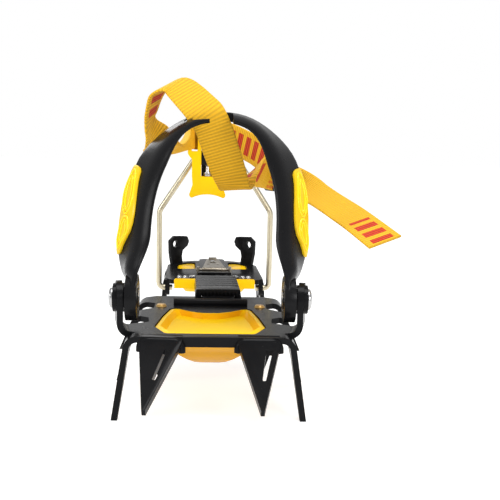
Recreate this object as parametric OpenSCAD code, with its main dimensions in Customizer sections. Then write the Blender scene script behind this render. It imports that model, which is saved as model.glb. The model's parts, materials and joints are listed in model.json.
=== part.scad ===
// Semi-automatic crampon: pressed steel front and heel sections on a linking bar,
// a moulded toe bail, a wire heel bail with a lever, and an ankle strap.
// The toe points to -Y, the heel to +Y, and the tips of the points stand on z = 0.

/* [Platform] */
// Height of the boot platform above the ground
platform_h = 44; // [40:1:50]
// Thickness of the pressed steel sheet
sheet_t = 3.2; // [2.8:0.1:4]
// Inside radius of the sheet's bends
bend_r = 4; // [3:0.5:5]
// Distance from the toe pivot forward to the front edge of the platform
front_edge = 20; // [18:1:24]
// Distance from the toe pivot back to the rear edge of the front section
front_rear = 92; // [88:1:100]
// Distance from the toe pivot back to the front edge of the heel section
heel_front = 158; // [156:1:170]
// Length of the heel section
heel_len = 97; // [94:1:110]
// Half width of the heel section
heel_half_w = 35; // [34:0.5:35.5]
// Turn of the linking bar and the heel section about the heel's rear edge, in degrees
heel_yaw = 1.5; // [0:0.5:3]

/* [Points] */
// Reach of the front points ahead of the front edge
front_reach = 46; // [36:1:52]
// Drop of the front points' tips below the platform
front_drop = 24; // [18:1:30]
// Width of a front point at its root
front_point_w = 21; // [18:0.5:23]
// Width of the blunt tip of a side point
tip_w = 4; // [3:0.5:6]
// Outward splay of the first side points, in degrees
splay_1 = 9; // [6:1:14]
// Outward splay of the second side points, in degrees
splay_2 = 14; // [10:1:20]
// Outward splay of the third side points, in degrees
splay_3 = 23; // [10:1:25]
// Outward splay of the heel points, in degrees
splay_heel = 4; // [0:1:10]

/* [Toe bail] */
// Height of the toe pivot above the platform
pivot_h = 16; // [15:0.5:19]
// Height of the bail's crown above the platform
crown_h = 110; // [104:1:116]
// Half width of the bail over its pivots
bail_half_w = 44.7; // [44:0.1:47]
// Lean of the bail away from the toe, in degrees
bail_lean = 14.5; // [8:0.5:20]
// Sideways lean of the bail, which the strap pulls towards its tail, in degrees
bail_sway = 2.5; // [0:0.5:3]
// Width of the bail's band
band_w = 26; // [24:0.5:28]
// Thickness of the bail's band
band_t = 4.6; // [4:0.1:5.2]
// Diameter of the pivot bolts' shanks
bolt_d = 6; // [5:0.1:7]
// Diameter of the pivot bolts' domed heads
bolt_head_d = 11; // [10:0.5:12]

/* [Linking bar] */
// Width of the linking bar
bar_w = 20; // [18:0.5:22]
// Thickness of the linking bar
bar_t = 3; // [2.5:0.1:3.5]
// Diameter of the length holes in the bar
bar_hole_d = 5; // [4.5:0.1:5.5]
// Spacing of the length holes
bar_pitch = 10; // [9:0.5:12]
// Width of the moulded shoe over the front of the bar
shoe_w = 29; // [27:0.5:32]
// Height of the shoe above the platform
shoe_h = 7; // [6:0.1:9]

/* [Heel bail] */
// Diameter of the heel bail's wire
wire_d = 4; // [3.5:0.1:4.2]
// Half distance between the wire's legs
wire_half = 39.5; // [39:0.1:41]
// Height of the wire's shoulders above the platform
shoulder_h = 48; // [44:1:54]
// Height of the wire's cross bar above the platform
cross_h = 87; // [84:0.5:90]
// Width of the heel lever at its foot
lever_w = 27; // [25:0.5:30]
// Thickness of the heel lever
lever_t = 6; // [5.5:0.1:7]
// Place of the lever along the wire's cross bar
lever_shift = -6; // [-6:0.5:6]
// Diameter of the adjusting screw
screw_d = 3; // [2.5:0.1:3.2]

/* [Strap] */
// Width of the webbing
strap_w = 20; // [18:0.5:22]
// Thickness of the webbing
strap_t = 1.6; // [1.2:0.1:2]

/* [Clearances] */
// Radial clearance of the running fits
fit = 0.05; // [0.03:0.01:0.1]
// Gap between parts that slide or swing past each other
gap = 0.4; // [0.3:0.05:0.5]

/* [Hidden] */
$fn = 48;

steel_black = [0.13, 0.13, 0.14];
plastic_black = [0.08, 0.08, 0.09];
yellow = [1, 0.82, 0.1];
webbing = [0.92, 0.68, 0.15];
bright = [0.8, 0.8, 0.82];
champagne = [0.78, 0.74, 0.6];
grey_steel = [0.55, 0.52, 0.46];

// The part is centred on its length between the front tips and the heel's rear edge
heel_rear = heel_front + heel_len;
pivot_y = -(heel_rear - front_edge - front_reach) / 2;
plate_low = platform_h - sheet_t;
eps = 0.02;

module from_pivot() {
    translate([0, pivot_y, 0]) children();
}
module turned_with_heel() {
    translate([0, heel_rear, 0])
        rotate([0, 0, heel_yaw])
            translate([0, -heel_rear, 0])
                children();
}
module from_heel() {
    from_pivot() turned_with_heel() children();
}
module both_sides() {
    children();
    mirror([1, 0, 0]) children();
}

// Corner i of an outline rounded by an arc of radius r, as a list of points
function unit2(v) = v / norm(v);
function corner(p, i, r, n = 6) =
    let (c = p[i], a = unit2(p[(i + len(p) - 1) % len(p)] - c), b = unit2(p[(i + 1) % len(p)] - c))
    let (half = acos(a * b) / 2, mid = c + unit2(a + b) * r / sin(half))
    let (d = r / tan(half), s = c + a * d - mid, e = c + b * d - mid)
    let (a0 = atan2(s[1], s[0]), turn = atan2(e[1], e[0]) - a0)
    let (t = turn > 180 ? turn - 360 : turn < -180 ? turn + 360 : turn)
    [for (k = [0 : n]) mid + r * [cos(a0 + t * k / n), sin(a0 + t * k / n)]];
function rounded(p, r, n = 6) = [for (i = [0 : len(p) - 1]) each corner(p, i, r, n)];
// The right-hand half of an outline with its mirror image
function mirrored(p) = concat(p, [for (i = [len(p) - 1 : -1 : 0]) [-p[i][0], p[i][1]]]);

// A closed skin over rings that all have the same number of points
function skin_faces(rings, count) = concat(
    [[for (k = [count - 1 : -1 : 0]) k]],
    [for (i = [0 : rings - 2], k = [0 : count - 1])
        each [[i * count + k, i * count + (k + 1) % count, (i + 1) * count + k],
              [i * count + (k + 1) % count, (i + 1) * count + (k + 1) % count, (i + 1) * count + k]]],
    [[for (k = [0 : count - 1]) (rings - 1) * count + k]]
);
module skin(rings) {
    polyhedron([for (r = rings) each r], skin_faces(len(rings), len(rings[0])));
}

// A sheet metal bend about the Y axis: starts flat towards +X and turns down, or up when rise is true
module sheet_bend(width, angle, rise = false) {
    mirror([0, 0, rise ? 1 : 0])
        translate([0, width / 2, -bend_r - sheet_t])
            rotate([90, 0, 0])
                rotate([0, 0, 90 - angle])
                    rotate_extrude(angle = angle)
                        translate([bend_r, 0])
                            square([sheet_t, width]);
}

point_root = 3;
bend_steps = 8;
// The side view of a pressed point: a flat root, a bend that stops splay short of upright, a straight blade
function point_profile(splay) =
    let (out = bend_r + sheet_t, run = platform_h * [sin(splay), -cos(splay)] / cos(splay))
    let (turn = [for (k = [0 : bend_steps]) let (a = 90 + (splay - 90) * k / bend_steps) [cos(a), sin(a)]])
    concat(
        [[-point_root, -sheet_t], [-point_root, 0]],
        [for (d = turn) [0, -out] + out * d],
        [[0, -out] + out * turn[bend_steps] + run, [0, -out] + bend_r * turn[bend_steps] + run],
        [for (k = [bend_steps : -1 : 0]) [0, -out] + bend_r * turn[k]]
    );
// A pressed point that bends down from an edge that runs along Y.
// Its tip stands on the ground, cut flat, and is shifted by tip_shift along Y.
module side_point(width, splay, tip_shift = 0) {
    waist = 0.42 * width;
    waist_h = 0.6 * platform_h;
    intersection() {
        translate([0, width / 2, platform_h])
            rotate([90, 0, 0])
                linear_extrude(width)
                    polygon(point_profile(splay));
        translate([-2 * point_root, 0, 0])
            rotate([90, 0, 90])
                linear_extrude(2 * platform_h)
                    polygon([
                        [tip_shift - tip_w / 2, 0], [tip_shift + tip_w / 2, 0],
                        [waist + 0.3 * tip_shift, waist_h],
                        [width / 2, platform_h - bend_r], [width / 2, platform_h + 1],
                        [-width / 2, platform_h + 1], [-width / 2, platform_h - bend_r],
                        [0.3 * tip_shift - waist, waist_h]
                    ]);
    }
}

// Front section
lug_half = 9;
lug_toe_out = 10;
lug_in = bail_half_w + 1.2;
lug_edge = lug_in - bend_r;
seat_d = 15;
seat_proud = 1.2;
lug_dx = lug_half * sin(lug_toe_out);
lug_dy = lug_half * cos(lug_toe_out);
front_half_w = 38;
hook_x = 24.5;
hoop_r = 2.6;
window_back = 56;
flange_drop = 2;
plate_rivet_d = 4;
roll_d = 5;
roll_w = 44;
roll_back = 9;
second_len = 20;
second_w = 15;
second_back = 5;
second_rake = 10;

function front_outline() = mirrored([
    [front_half_w, -front_edge], [front_half_w, -lug_dy - 1], [lug_edge - lug_dx, -lug_dy],
    [lug_edge + lug_dx, lug_dy], [front_half_w - 5, lug_half + 6], [front_half_w - 4, 26],
    [front_half_w + 1, 30], [front_half_w + 1, 48], [front_half_w - 5, 54],
    [front_half_w - 5, 68], [front_half_w, 71], [front_half_w, 89], [front_half_w - 4, front_rear]
]);
function window_outline() = mirrored([
    [23, -front_edge + 8], [29.5, 4], [27, 30], [23, window_back],
    [12, window_back - 11], [5, window_back - 15]
]);

module plate_rivet_places() {
    both_sides() translate([front_half_w - 9, window_back + 3, 0]) children();
}

// A front point: a slotted triangular blade that leaves a rolled hoop at the front edge
module front_point(yaw) {
    pitch = atan2(front_drop - hoop_r, front_reach);
    length = norm([front_reach, front_drop - hoop_r]);
    blade = [
        [-front_point_w / 2, 4], [-front_point_w / 2, -3], [-0.9, -length], [0.9, -length],
        [front_point_w / 2, -3], [front_point_w / 2, 4]
    ];
    slot = rounded([[3.2, -8], [6.4, -8], [2.1, -length * 0.6], [0.5, -length * 0.6]], 0.7, 4);
    translate([0, -front_edge, plate_low + sheet_t - hoop_r])
        rotate([0, 0, yaw]) {
            rotate([pitch, 0, 0])
                translate([0, 0, -sheet_t / 2])
                    difference() {
                        linear_extrude(sheet_t) polygon(blade);
                        translate([0, 0, -1]) linear_extrude(sheet_t + 2) polygon(slot);
                    }
            front_hoop();
        }
}
module front_hoop() {
    ear_r = 3.4;
    ear_drop = 1.6;
    bar = front_point_w - 8;
    translate([-bar / 2, 0, 0])
        rotate([0, 90, 0])
            cylinder(r = hoop_r, h = bar);
    both_sides()
        translate([bar / 2, 0, -ear_r])
            rotate([90, 0, 0])
                rotate_extrude(angle = 90)
                    translate([ear_r, 0])
                        circle(r = hoop_r - 0.05);
    both_sides()
        translate([bar / 2 + ear_r, 0, -ear_r - ear_drop])
            cylinder(r = hoop_r - 0.05, h = ear_drop);
}

// A shorter point behind each front point, raked forward
module second_point() {
    blade = [
        [-second_w / 2, 0], [second_w / 2, 0], [second_w * 0.42, second_len * 0.35],
        [tip_w / 2, second_len], [-tip_w / 2, second_len], [-second_w * 0.42, second_len * 0.35]
    ];
    translate([hook_x, -front_edge + second_back, plate_low + 0.5])
        rotate([second_rake - 90, 0, 0])
            linear_extrude(sheet_t) polygon(blade);
}

module lug() {
    top = platform_h + pivot_h;
    rise = bend_r + sheet_t;
    translate([lug_edge, 0, 0])
        rotate([0, 0, -lug_toe_out]) {
            translate([0, 0, plate_low])
                sheet_bend(2 * lug_half, 90, true);
            translate([bend_r, 0, 0])
                rotate([0, 90, 0])
                    linear_extrude(sheet_t)
                        union() {
                            translate([-top, 0]) circle(r = lug_half);
                            translate([-top, -lug_half]) square([top - plate_low - rise, 2 * lug_half]);
                        }
        }
    // A round seat for the bolt, square to the pivot
    translate([lug_in - seat_proud, 0, top])
        rotate([0, 90, 0])
            cylinder(d = seat_d, h = sheet_t + 2 * seat_proud);
}

module front_frame() {
    from_pivot() color(steel_black)
        difference() {
            union() {
                translate([0, 0, plate_low])
                    linear_extrude(sheet_t)
                        difference() {
                            polygon(rounded(front_outline(), 1.5, 3));
                            polygon(rounded(window_outline(), 3, 5));
                        }
                front_flange();
                both_sides() lug();
                both_sides() translate([front_half_w - 1.5, -15, 0]) side_point(10, splay_1, -1);
                both_sides() translate([front_half_w, 39, 0]) side_point(18, splay_2, 12);
                both_sides() translate([front_half_w, 80, 0]) side_point(18, splay_3, 18);
                both_sides() second_point();
                translate([-hook_x, 0, 0]) front_point(-6);
                translate([hook_x, 0, 0]) front_point(-0.5);
                rear_flange();
                window_roll();
            }
            both_sides()
                translate([lug_in - 10, 0, platform_h + pivot_h])
                    rotate([0, 90, 0])
                        cylinder(d = bolt_d + 2 * fit, h = 30);
            plate_rivet_places() cylinder(d = plate_rivet_d + 2 * fit, h = 2 * platform_h);
            turned_with_heel()
                bar_rivet_places()
                    translate([0, 0, plate_low - 1])
                        cylinder(d = 4 + 2 * fit, h = sheet_t + 2);
        }
}
module front_flange() {
    // The front edge between the points turns down
    translate([-hook_x, -front_edge, plate_low - flange_drop])
        cube([2 * hook_x, sheet_t, flange_drop + eps]);
}
module window_roll() {
    // A rolled bar across the frame behind the window
    translate([-roll_w / 2, window_back + roll_back, platform_h + roll_d / 4])
        rotate([0, 90, 0])
            cylinder(d = roll_d, h = roll_w);
}
module rear_flange() {
    // The rear edge turns down to stiffen the cross bar
    translate([-20, front_rear - sheet_t, plate_low - flange_drop])
        cube([40, sheet_t, flange_drop + eps]);
}

// The anti-balling plate of the front section: a rimmed tray that bulges below the frame
plate_rim = 1.6;
tray_depth = 3;
belly_drop = 20;
// A ring of the belly about its middle: its outline, drawn in to an oval as round goes from 0 to 1
belly_mid = 22;
belly_half = [33, 43];
function belly_outline() = rounded(mirrored([
    [31, -front_edge + 5], [belly_half[0], 4], [belly_half[0], window_back + 8], [12, window_back + 10]
]), 4, 3);
function belly_ring(scale, round, z) =
    [for (p = belly_outline())
        let (u = p - [0, belly_mid], oval = 1 / norm([u[0] / belly_half[0], u[1] / belly_half[1]]))
        let (s = scale * (1 + (oval - 1) * round))
        [u[0] * s, u[1] * s + belly_mid, z]];
function tray_ring(inset, z) =
    [for (p = rounded(window_outline(), 3, 3))
        [p[0] * (1 - inset / 30), (p[1] - 18) * (1 - inset / 34) + 18, z]];

module front_antiball_plate() {
    top = plate_low;
    pocket = second_back + second_len * sin(second_rake) + sheet_t + gap;
    from_pivot() color(yellow)
        difference() {
            union() {
                skin(concat(
                    [belly_ring(1, 0, top)],
                    [for (a = [0 : 12 : 84])
                        let (z = top - plate_rim - (belly_drop - plate_rim) * sin(a))
                        belly_ring(pow(1 - sin(a), 0.5), min(1, a / 24), z)]
                ));
                skin([
                    tray_ring(1.5, platform_h), tray_ring(0.5, platform_h - 0.6), tray_ring(0.5, top - 0.5)
                ]);
            }
            skin([
                tray_ring(3.1, platform_h + 1), tray_ring(3.2, platform_h + 0.1),
                tray_ring(6, platform_h - tray_depth)
            ]);
            plate_rivet_places() cylinder(d = plate_rivet_d + 2 * fit, h = 2 * platform_h);
            // The second points hang down in pockets
            both_sides()
                translate([hook_x - second_w / 2 - gap, -front_edge, top - 2 * belly_drop])
                    cube([second_w + 2 * gap, pocket, 2 * belly_drop + eps]);
        }
}
module front_plate_rivets() {
    from_pivot() color(bright)
        plate_rivet_places() {
            translate([0, 0, plate_low - plate_rim]) cylinder(d = plate_rivet_d, h = sheet_t + plate_rim);
            translate([0, 0, platform_h])
                cylinder(d1 = 1.7 * plate_rivet_d, d2 = 1.2 * plate_rivet_d, h = 1.3);
        }
}

// Toe bail
leg_x = bail_half_w - 4;
arm_x = leg_x + 0.5;
spring_h = 50;
tab_r = 12;
tab_t = 6;
rim_t = 2;
leg_more = 2.5;
seat_w = 13;
bail_steps = 20;
leg_steps = 12;
slot_w = strap_w + 6;
slot_d = 9;
slot_x = -2.6;
prong_x = 0.6;
prong_len = 9;

// Half of the bail's centre line in its own plane, from the pivot up to the crown
function bail_line() = concat(
    [for (i = [0 : leg_steps - 1])
        let (h = (spring_h - pivot_h) / cos(bail_lean) * i / leg_steps)
        [leg_x + (arm_x - leg_x) * smooth(ramp(h, tab_r - 2, spring_h - pivot_h)), h]],
    [for (i = [0 : bail_steps])
        let (a = 90 * i / bail_steps)
        [arm_x * pow(cos(a), 0.85),
         (spring_h - pivot_h + (crown_h - spring_h) * pow(sin(a), 0.95)) / cos(bail_lean)]]
);
// The whole centre line from the right pivot to the left
function whole_bail() =
    let (h = bail_line(), n = len(h))
    concat(h, [for (i = [n - 2 : -1 : 0]) [-h[i][0], h[i][1]]]);
// How far the band's face turns towards the toe, from the height above the pivot
function ramp(v, low, high) = min(1, max(0, (v - low) / (high - low)));
function smooth(s) = s * s * (3 - 2 * s);
function band_turn(h) =
    36 * smooth(ramp(h, 4, 32)) - 17 * smooth(ramp(h, 70, crown_h - pivot_h));
function band_width(h) = 23 + (band_w - 23) * smooth(ramp(h, 6, 30));
// The outer face of the band, which is thicker above the pivot
function band_high(h) =
    band_t / 2 + leg_more * smooth(ramp(h, tab_r - 3, tab_r + 1)) * (1 - smooth(ramp(h, tab_r + 2, 36)));
// A point of the band: place i on the line, across from the front (-) to the rear (+), out from the face
function band_point(line, i, across, out) =
    let (p = line[i], a = line[max(0, i - 1)], b = line[min(len(line) - 1, i + 1)])
    let (t = unit2(b - a), n = [t[1], -t[0]], turn = band_turn(p[1]))
    let (flat = p + n * (out * cos(turn) + across * sin(turn)))
    let (deep = across * cos(turn) - out * sin(turn))
    [flat[0] + max(0, flat[1] - tab_r) * tan(bail_sway),
     deep * cos(bail_lean) + flat[1] * sin(bail_lean), flat[1] * cos(bail_lean) - deep * sin(bail_lean)];
// The band's section, as places across and out: a flat seat at the rear falls to a thin rim in front
function band_section(h) =
    let (w = band_width(h) / 2, edge = 1.2)
    let (low = -band_t / 2, high = band_high(h), fall = high - low - rim_t)
    [[-w, low + rim_t / 3], [-w + rim_t / 3, low], [w - edge, low],
     [w, low + edge], [w, high - edge], [w - edge, high],
     for (k = [1 : 3]) [w - seat_w * k / 3, high],
     [-w + 9, high], [-w + 5, high - 0.18 * fall], [-w + 2, high - 0.6 * fall], [-w, high - fall]];
// The section of an insert between two places across, with a crowned face and rounded edges
function insert_section(from, to, seat, proud) =
    let (low = seat + seat_gap, high = seat + proud, edge = 0.6, soft = edge * 0.3, mid = (from + to) / 2)
    [[from, low], [mid, low], [to, low], [to, high - edge], [to - soft, high - soft], [to - edge, high],
     [mid, high + edge / 2], [from + edge, high], [from + soft, high - soft], [from, high - edge]];
function band_ring(line, i, section) = [for (p = section) band_point(line, i, p[0], p[1])];
// A ring between two places of the line, on the straight stretch that joins them
function ring_between(line, place, section) =
    let (i = min(floor(place), len(line) - 2), near = band_ring(line, i, section))
    near + (band_ring(line, i + 1, section) - near) * (place - i);

module at_pivot() {
    from_pivot() translate([0, 0, platform_h + pivot_h]) children();
}
module toe_bail() {
    line = whole_bail();
    at_pivot() color(plastic_black)
        difference() {
            union() {
                skin([for (i = [0 : len(line) - 1])
                    band_ring(line, i, band_section(line[i][1]))]);
                both_sides()
                    translate([leg_x - tab_t / 2, 0, 0])
                        rotate([0, 90, 0])
                            cylinder(r = tab_r, h = tab_t);
            }
            both_sides()
                translate([leg_x - tab_t, 0, 0])
                    rotate([0, 90, 0]) {
                        cylinder(d = bolt_d + 2 * fit, h = 2 * tab_t);
                        cylinder(d = nut_d + 2 * gap, h = tab_t / 2 + nut_sunk);
                    }
            strap_gate();
        }
}
module strap_gate() {
    // The strap's slot at the crown, open to the front beside a pointed prong that keeps the strap in
    crown = (crown_h - pivot_h) / cos(bail_lean);
    rotate([-bail_lean, 0, 0])
        translate([slot_x, -slot_d / 2 - 1, crown]) {
            translate([-slot_w / 2, 0, -band_w / 2]) cube([slot_w, slot_d, band_w]);
            translate([prong_x, -band_w / 2, -band_w / 2])
                cube([slot_w / 2 - prong_x, slot_d + band_w / 4, band_w]);
            translate([prong_x, slot_d / 2, 0])
                rotate([90, 0, 0])
                    linear_extrude(band_w)
                        polygon([
                            [0.5, band_t / 3], [-prong_len, -band_t / 2],
                            [-prong_len, -band_t], [0.5, -band_t]
                        ]);
        }
}

insert_from = 8;
insert_to = 19;
insert_proud = 1.5;
insert_back = 1.4;
insert_foot = 2.4;
insert_belly = 7.0;
insert_top = 4.6;
insert_round = 0.07;
insert_steps = 18;
seat_gap = 0.2;
// How far an insert's round ends have opened, from its foot (0) to its top (1)
function insert_open(s) =
    let (low = 1 - ramp(s, 0, insert_round), high = ramp(s, 1 - insert_round, 1))
    sqrt(1 - 0.9 * pow(max(low, high), 2));
// Half width of an insert, from its narrow foot over its belly to its round top
function insert_half(s) =
    insert_open(s) * (insert_foot + (insert_belly - insert_foot) * smooth(ramp(s, 0, 0.5))
        - (insert_belly - insert_top) * smooth(ramp(s, 0.5, 1)));
module bail_insert(first, last, foot) {
    line = whole_bail();
    at_pivot() color(yellow)
        skin([for (k = [0 : insert_steps])
            let (place = first + (last - first) * (1 - cos(180 * k / insert_steps)) / 2)
            let (share = abs(place - foot) / (last - first), i = floor(place))
            let (h = line[i][1] + (line[min(i + 1, len(line) - 1)][1] - line[i][1]) * (place - i))
            let (to = band_width(h) / 2 - insert_back, proud = insert_proud * (0.5 + insert_open(share) / 2))
            let (section = insert_section(to - 2 * insert_half(share), to, band_high(h), proud))
            ring_between(line, place, section)]);
}
module bail_insert_right() {
    bail_insert(insert_from, insert_to, insert_from);
}
module bail_insert_left() {
    end = len(whole_bail()) - 1;
    bail_insert(end - insert_to, end - insert_from, end - insert_from);
}

// Pivot bolts: a domed head outside the lug, the shank through lug, washer and leg, and a nut inside
washer_t = lug_in - seat_proud - leg_x - tab_t / 2 - 0.1;
nut_d = 10;
nut_t = 1.8;
nut_sunk = 1.5;
nut_in = leg_x - tab_t / 2 + nut_sunk - 0.05 - nut_t;
module pivot_bolts() {
    dome_h = 2.6;
    dome_r = bolt_head_d / 2;
    out = lug_in + sheet_t + seat_proud;
    at_pivot() color(bright)
        both_sides()
            rotate([0, 90, 0]) {
                translate([0, 0, nut_in]) cylinder(d = bolt_d, h = out - nut_in + 0.1);
                translate([0, 0, out])
                    difference() {
                        rotate_extrude()
                            polygon([
                                [0, 0], [dome_r, 0],
                                for (a = [0 : 15 : 75]) [dome_r * cos(a), 1 + (dome_h - 1) * sin(a)],
                                [0, dome_h]
                            ]);
                        translate([0, 0, 1.1]) cylinder(d = 4.4, h = dome_h, $fn = 6);
                    }
            }
}
module pivot_washers() {
    at_pivot() color(plastic_black)
        both_sides()
            translate([leg_x + tab_t / 2 + 0.05, 0, 0])
                rotate([0, 90, 0])
                    difference() {
                        cylinder(d = bolt_head_d, h = washer_t);
                        translate([0, 0, -1]) cylinder(d = bolt_d + 2 * fit, h = washer_t + 2);
                    }
}
module pivot_nuts() {
    at_pivot() color(steel_black)
        both_sides()
            translate([nut_in, 0, 0])
                rotate([0, 90, 0])
                    difference() {
                        cylinder(d = nut_d, h = nut_t);
                        translate([0, 0, -1]) cylinder(d = bolt_d, h = nut_t + 2);
                    }
}

// Linking bar, riveted on the front section and running over the heel section
bar_low = platform_h + 0.1;
bar_top = bar_low + bar_t;
bar_front = 72;
shoe_front = 78;
shoe_back = 132;
latch_hole_y = heel_rear - 50;
slide_out = 3;
slide_in = 1;
bar_back = latch_hole_y + slide_out * bar_pitch + 9;
module bar_rivet_places() {
    for (x = [-6, 6]) translate([x, front_rear - 8, 0]) children();
}
module bar_holes() {
    for (i = [-slide_in : slide_out])
        translate([0, latch_hole_y + i * bar_pitch, bar_low - 1])
            cylinder(d = bar_hole_d, h = bar_t + 2);
}
module link_bar() {
    from_heel() color(steel_black)
        difference() {
            translate([0, 0, bar_low])
                linear_extrude(bar_t)
                    polygon(rounded(mirrored([[bar_w / 2, bar_front], [bar_w / 2, bar_back]]), 5));
            bar_holes();
            bar_rivet_places() translate([0, 0, bar_low - 1]) cylinder(d = 4 + 2 * fit, h = bar_t + 2);
        }
}
module bar_rivets() {
    from_heel() color(bright)
        bar_rivet_places() {
            translate([0, 0, plate_low]) cylinder(d = 4, h = bar_top - plate_low);
            translate([0, 0, bar_top]) cylinder(d1 = 6.4, d2 = 5, h = 1);
            translate([0, 0, plate_low - 1]) cylinder(d1 = 5, d2 = 6.4, h = 1);
        }
}
// The moulded shoe: a ribbed hood over the front of the bar
module bar_shoe() {
    wall = 2.2;
    rib = 1.1;
    ribs = 11;
    inside = bar_w / 2 + 0.3;
    from_heel() color(plastic_black)
        difference() {
            union() {
                translate([0, shoe_back, bar_low])
                    rotate([90, 0, 0])
                        linear_extrude(shoe_back - shoe_front)
                            polygon(rounded([[-shoe_w / 2, 0], [shoe_w / 2, 0], [shoe_w / 2 - 1, shoe_h],
                                [-shoe_w / 2 + 1, shoe_h]], 0.8, 3));
                for (i = [0 : ribs - 1])
                    translate([-shoe_w / 2 + 2.5 + i * (shoe_w - 6) / (ribs - 1), shoe_front - 0.9, bar_low])
                        translate([0, 0, 0.6]) cube([rib, 1, shoe_h - 2]);
            }
            // The bar and its rivet heads run inside the hood
            translate([-inside, shoe_front + wall, bar_low - 1])
                cube([2 * inside, shoe_back, bar_t + 1.3]);
            translate([-inside + 1, shoe_front + wall, bar_low])
                cube([2 * inside - 2, front_rear - shoe_front, bar_t + 1.7]);
            translate([-inside, shoe_front - 1, bar_low - 1])
                cube([2 * inside, wall + 2, bar_t + 1.1]);
            for (y = [shoe_front + 14 : 8 : shoe_back - 6])
                translate([-shoe_w, y, bar_low + shoe_h - 0.7])
                    cube([2 * shoe_w, 1.2, 2]);
        }
}

// Heel section
post_yaw = 45;
wire_pivot_y = heel_front + 8;
wire_pivot_z = platform_h - 7;
ear_w = 16;
guide_front = heel_front + 1;
guide_len = 6;
guide_rivet_d = 3;
guide_head_d = 4.6;
guide_t = 1.5;
foot_w = 7.5;
stud_y = heel_front + 9;
stud_d = 2.4;
stud_r = 1.8;
stud_h = 1.5;
function heel_outline() = mirrored([
    [heel_half_w - 4, heel_front], [heel_half_w, heel_front + 6], [heel_half_w, heel_rear - 26],
    [heel_half_w - 8, heel_rear - 7], [14, heel_rear]
]);
function heel_window() = rounded([
    [13, heel_rear - 46], [27.5, heel_rear - 46], [27.5, heel_rear - 22],
    [20, heel_rear - 11], [13, heel_rear - 11]
], 3, 4);
function lip_outline() = rounded([
    [12.5, heel_front - lip_t - 0.2], [28.5, heel_front - lip_t - 0.2],
    [28.5, heel_front - 0.2], [12.5, heel_front - 0.2]
], 1.2, 3);
lip_t = 4.6;

module heel_post() {
    head = platform_h + 19;
    shape = [
        [-6, 0], [5, 0], [3.5, 9], [4.5, 13.5], [10, 17], [11.5, 20.5],
        [9.5, 24.5], [-4, 25.5], [-9, 22], [-8.5, 12]
    ];
    translate([heel_half_w - 7.5, heel_rear - 16, plate_low])
        rotate([0, 0, 180 - post_yaw])
            translate([0, sheet_t / 2, 0])
                rotate([90, 0, 0])
                    difference() {
                        linear_extrude(sheet_t) polygon(rounded(shape, 1.4, 4));
                        translate([-3.5, head - plate_low - 3, -1]) cylinder(d = eye_d, h = sheet_t + 2);
                    }
}
eye_d = 5.5;
module wire_ear() {
    // A flange that turns down and carries the wire's pivot
    translate([heel_half_w - sheet_t, wire_pivot_y - ear_w / 2 + 2, wire_pivot_z])
        rotate([90, 0, 90])
            linear_extrude(sheet_t)
                union() {
                    translate([ear_w / 2 - 2, 0]) circle(r = 5.5);
                    translate([ear_w / 2 - 7.5, 0]) square([11, platform_h - wire_pivot_z - 0.5]);
                }
}
module heel_frame() {
    from_heel() color(steel_black)
        difference() {
            union() {
                translate([0, 0, plate_low])
                    linear_extrude(sheet_t)
                        difference() {
                            polygon(rounded(heel_outline(), 2.5, 4));
                            polygon(heel_window());
                            mirror([1, 0]) polygon(heel_window());
                        }
                both_sides() heel_post();
                both_sides() wire_ear();
                both_sides() translate([heel_half_w - 5, heel_front + 27, 0]) side_point(16, splay_heel, 1);
                both_sides() translate([heel_half_w - 5, heel_rear - 36, 0]) side_point(16, splay_heel, -2);
            }
            both_sides()
                translate([heel_half_w - 10, wire_pivot_y, wire_pivot_z])
                    rotate([0, 90, 0])
                        cylinder(d = wire_d + 2 * fit, h = 20);
            translate([0, 0, plate_low - 1]) {
                stud_places() cylinder(d = stud_d + 2 * fit, h = sheet_t + 2);
                guide_places() cylinder(d = guide_rivet_d + 2 * fit, h = sheet_t + 2);
            }
        }
}
module stud_places() {
    both_sides()
        for (i = [0 : 2])
            translate([16.5 + 4.2 * i, stud_y, 0]) children();
}
module guide_places() {
    both_sides()
        translate([bar_w / 2 + foot_w - guide_head_d / 2 - 0.4, guide_front + guide_len / 2, 0])
            children();
}
module heel_antiball_plate() {
    top = plate_low - 0.1;
    drop = 9;
    lip_low = plate_low - 2.4;
    ring = rounded(mirrored([
        [heel_half_w - 11, heel_front + 3], [heel_half_w - 9, heel_front + 20],
        [heel_half_w - 9, heel_rear - 24], [14, heel_rear - 6]
    ]), 4, 4);
    steps = [[1, top], [1, top - 1.5], [0.97, top - 2.5], [0.85, top - drop * 0.8], [0.6, top - drop]];
    mid = (heel_front + heel_rear) / 2;
    from_heel() color(yellow)
        difference() {
            union() {
                skin([for (s = steps)
                    [for (p = ring) [p[0] * s[0], (p[1] - mid) * s[0] + mid, s[1]]]]);
                both_sides() {
                    heel_pad(lip_outline(), [20.5, heel_front - lip_t / 2], platform_h + 0.8, lip_low, 1);
                    translate([13, heel_front - 2, lip_low]) cube([15, 12, top - lip_low]);
                    heel_pad(heel_window(), [20.2, heel_rear - 29], platform_h - 0.9, plate_low - 1, 0.94);
                }
            }
            stud_places() translate([0, 0, plate_low - 4]) cylinder(d = stud_d + 2 * fit, h = 10);
            guide_places() translate([0, 0, plate_low - 12]) cylinder(d = guide_head_d + 2 * gap, h = 20);
        }
}
// A raised pad that fills a window of the heel section
module heel_pad(outline, centre, top, low, size) {
    skin([for (s = [[size - 0.08, top], [size, top - 0.8], [size, low]])
        [for (p = outline) let (q = (p - centre) * s[0] + centre) [q[0], q[1], s[1]]]]);
}
module heel_rivets() {
    from_heel() color(bright)
        stud_places() {
            translate([0, 0, plate_low - 3]) cylinder(d = stud_d, h = sheet_t + 3);
            translate([0, 0, platform_h])
                rotate_extrude()
                    polygon([
                        [0, 0], for (a = [0 : 15 : 75]) [stud_r * cos(a), stud_h * sin(a)], [0, stud_h]
                    ]);
        }
}
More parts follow.
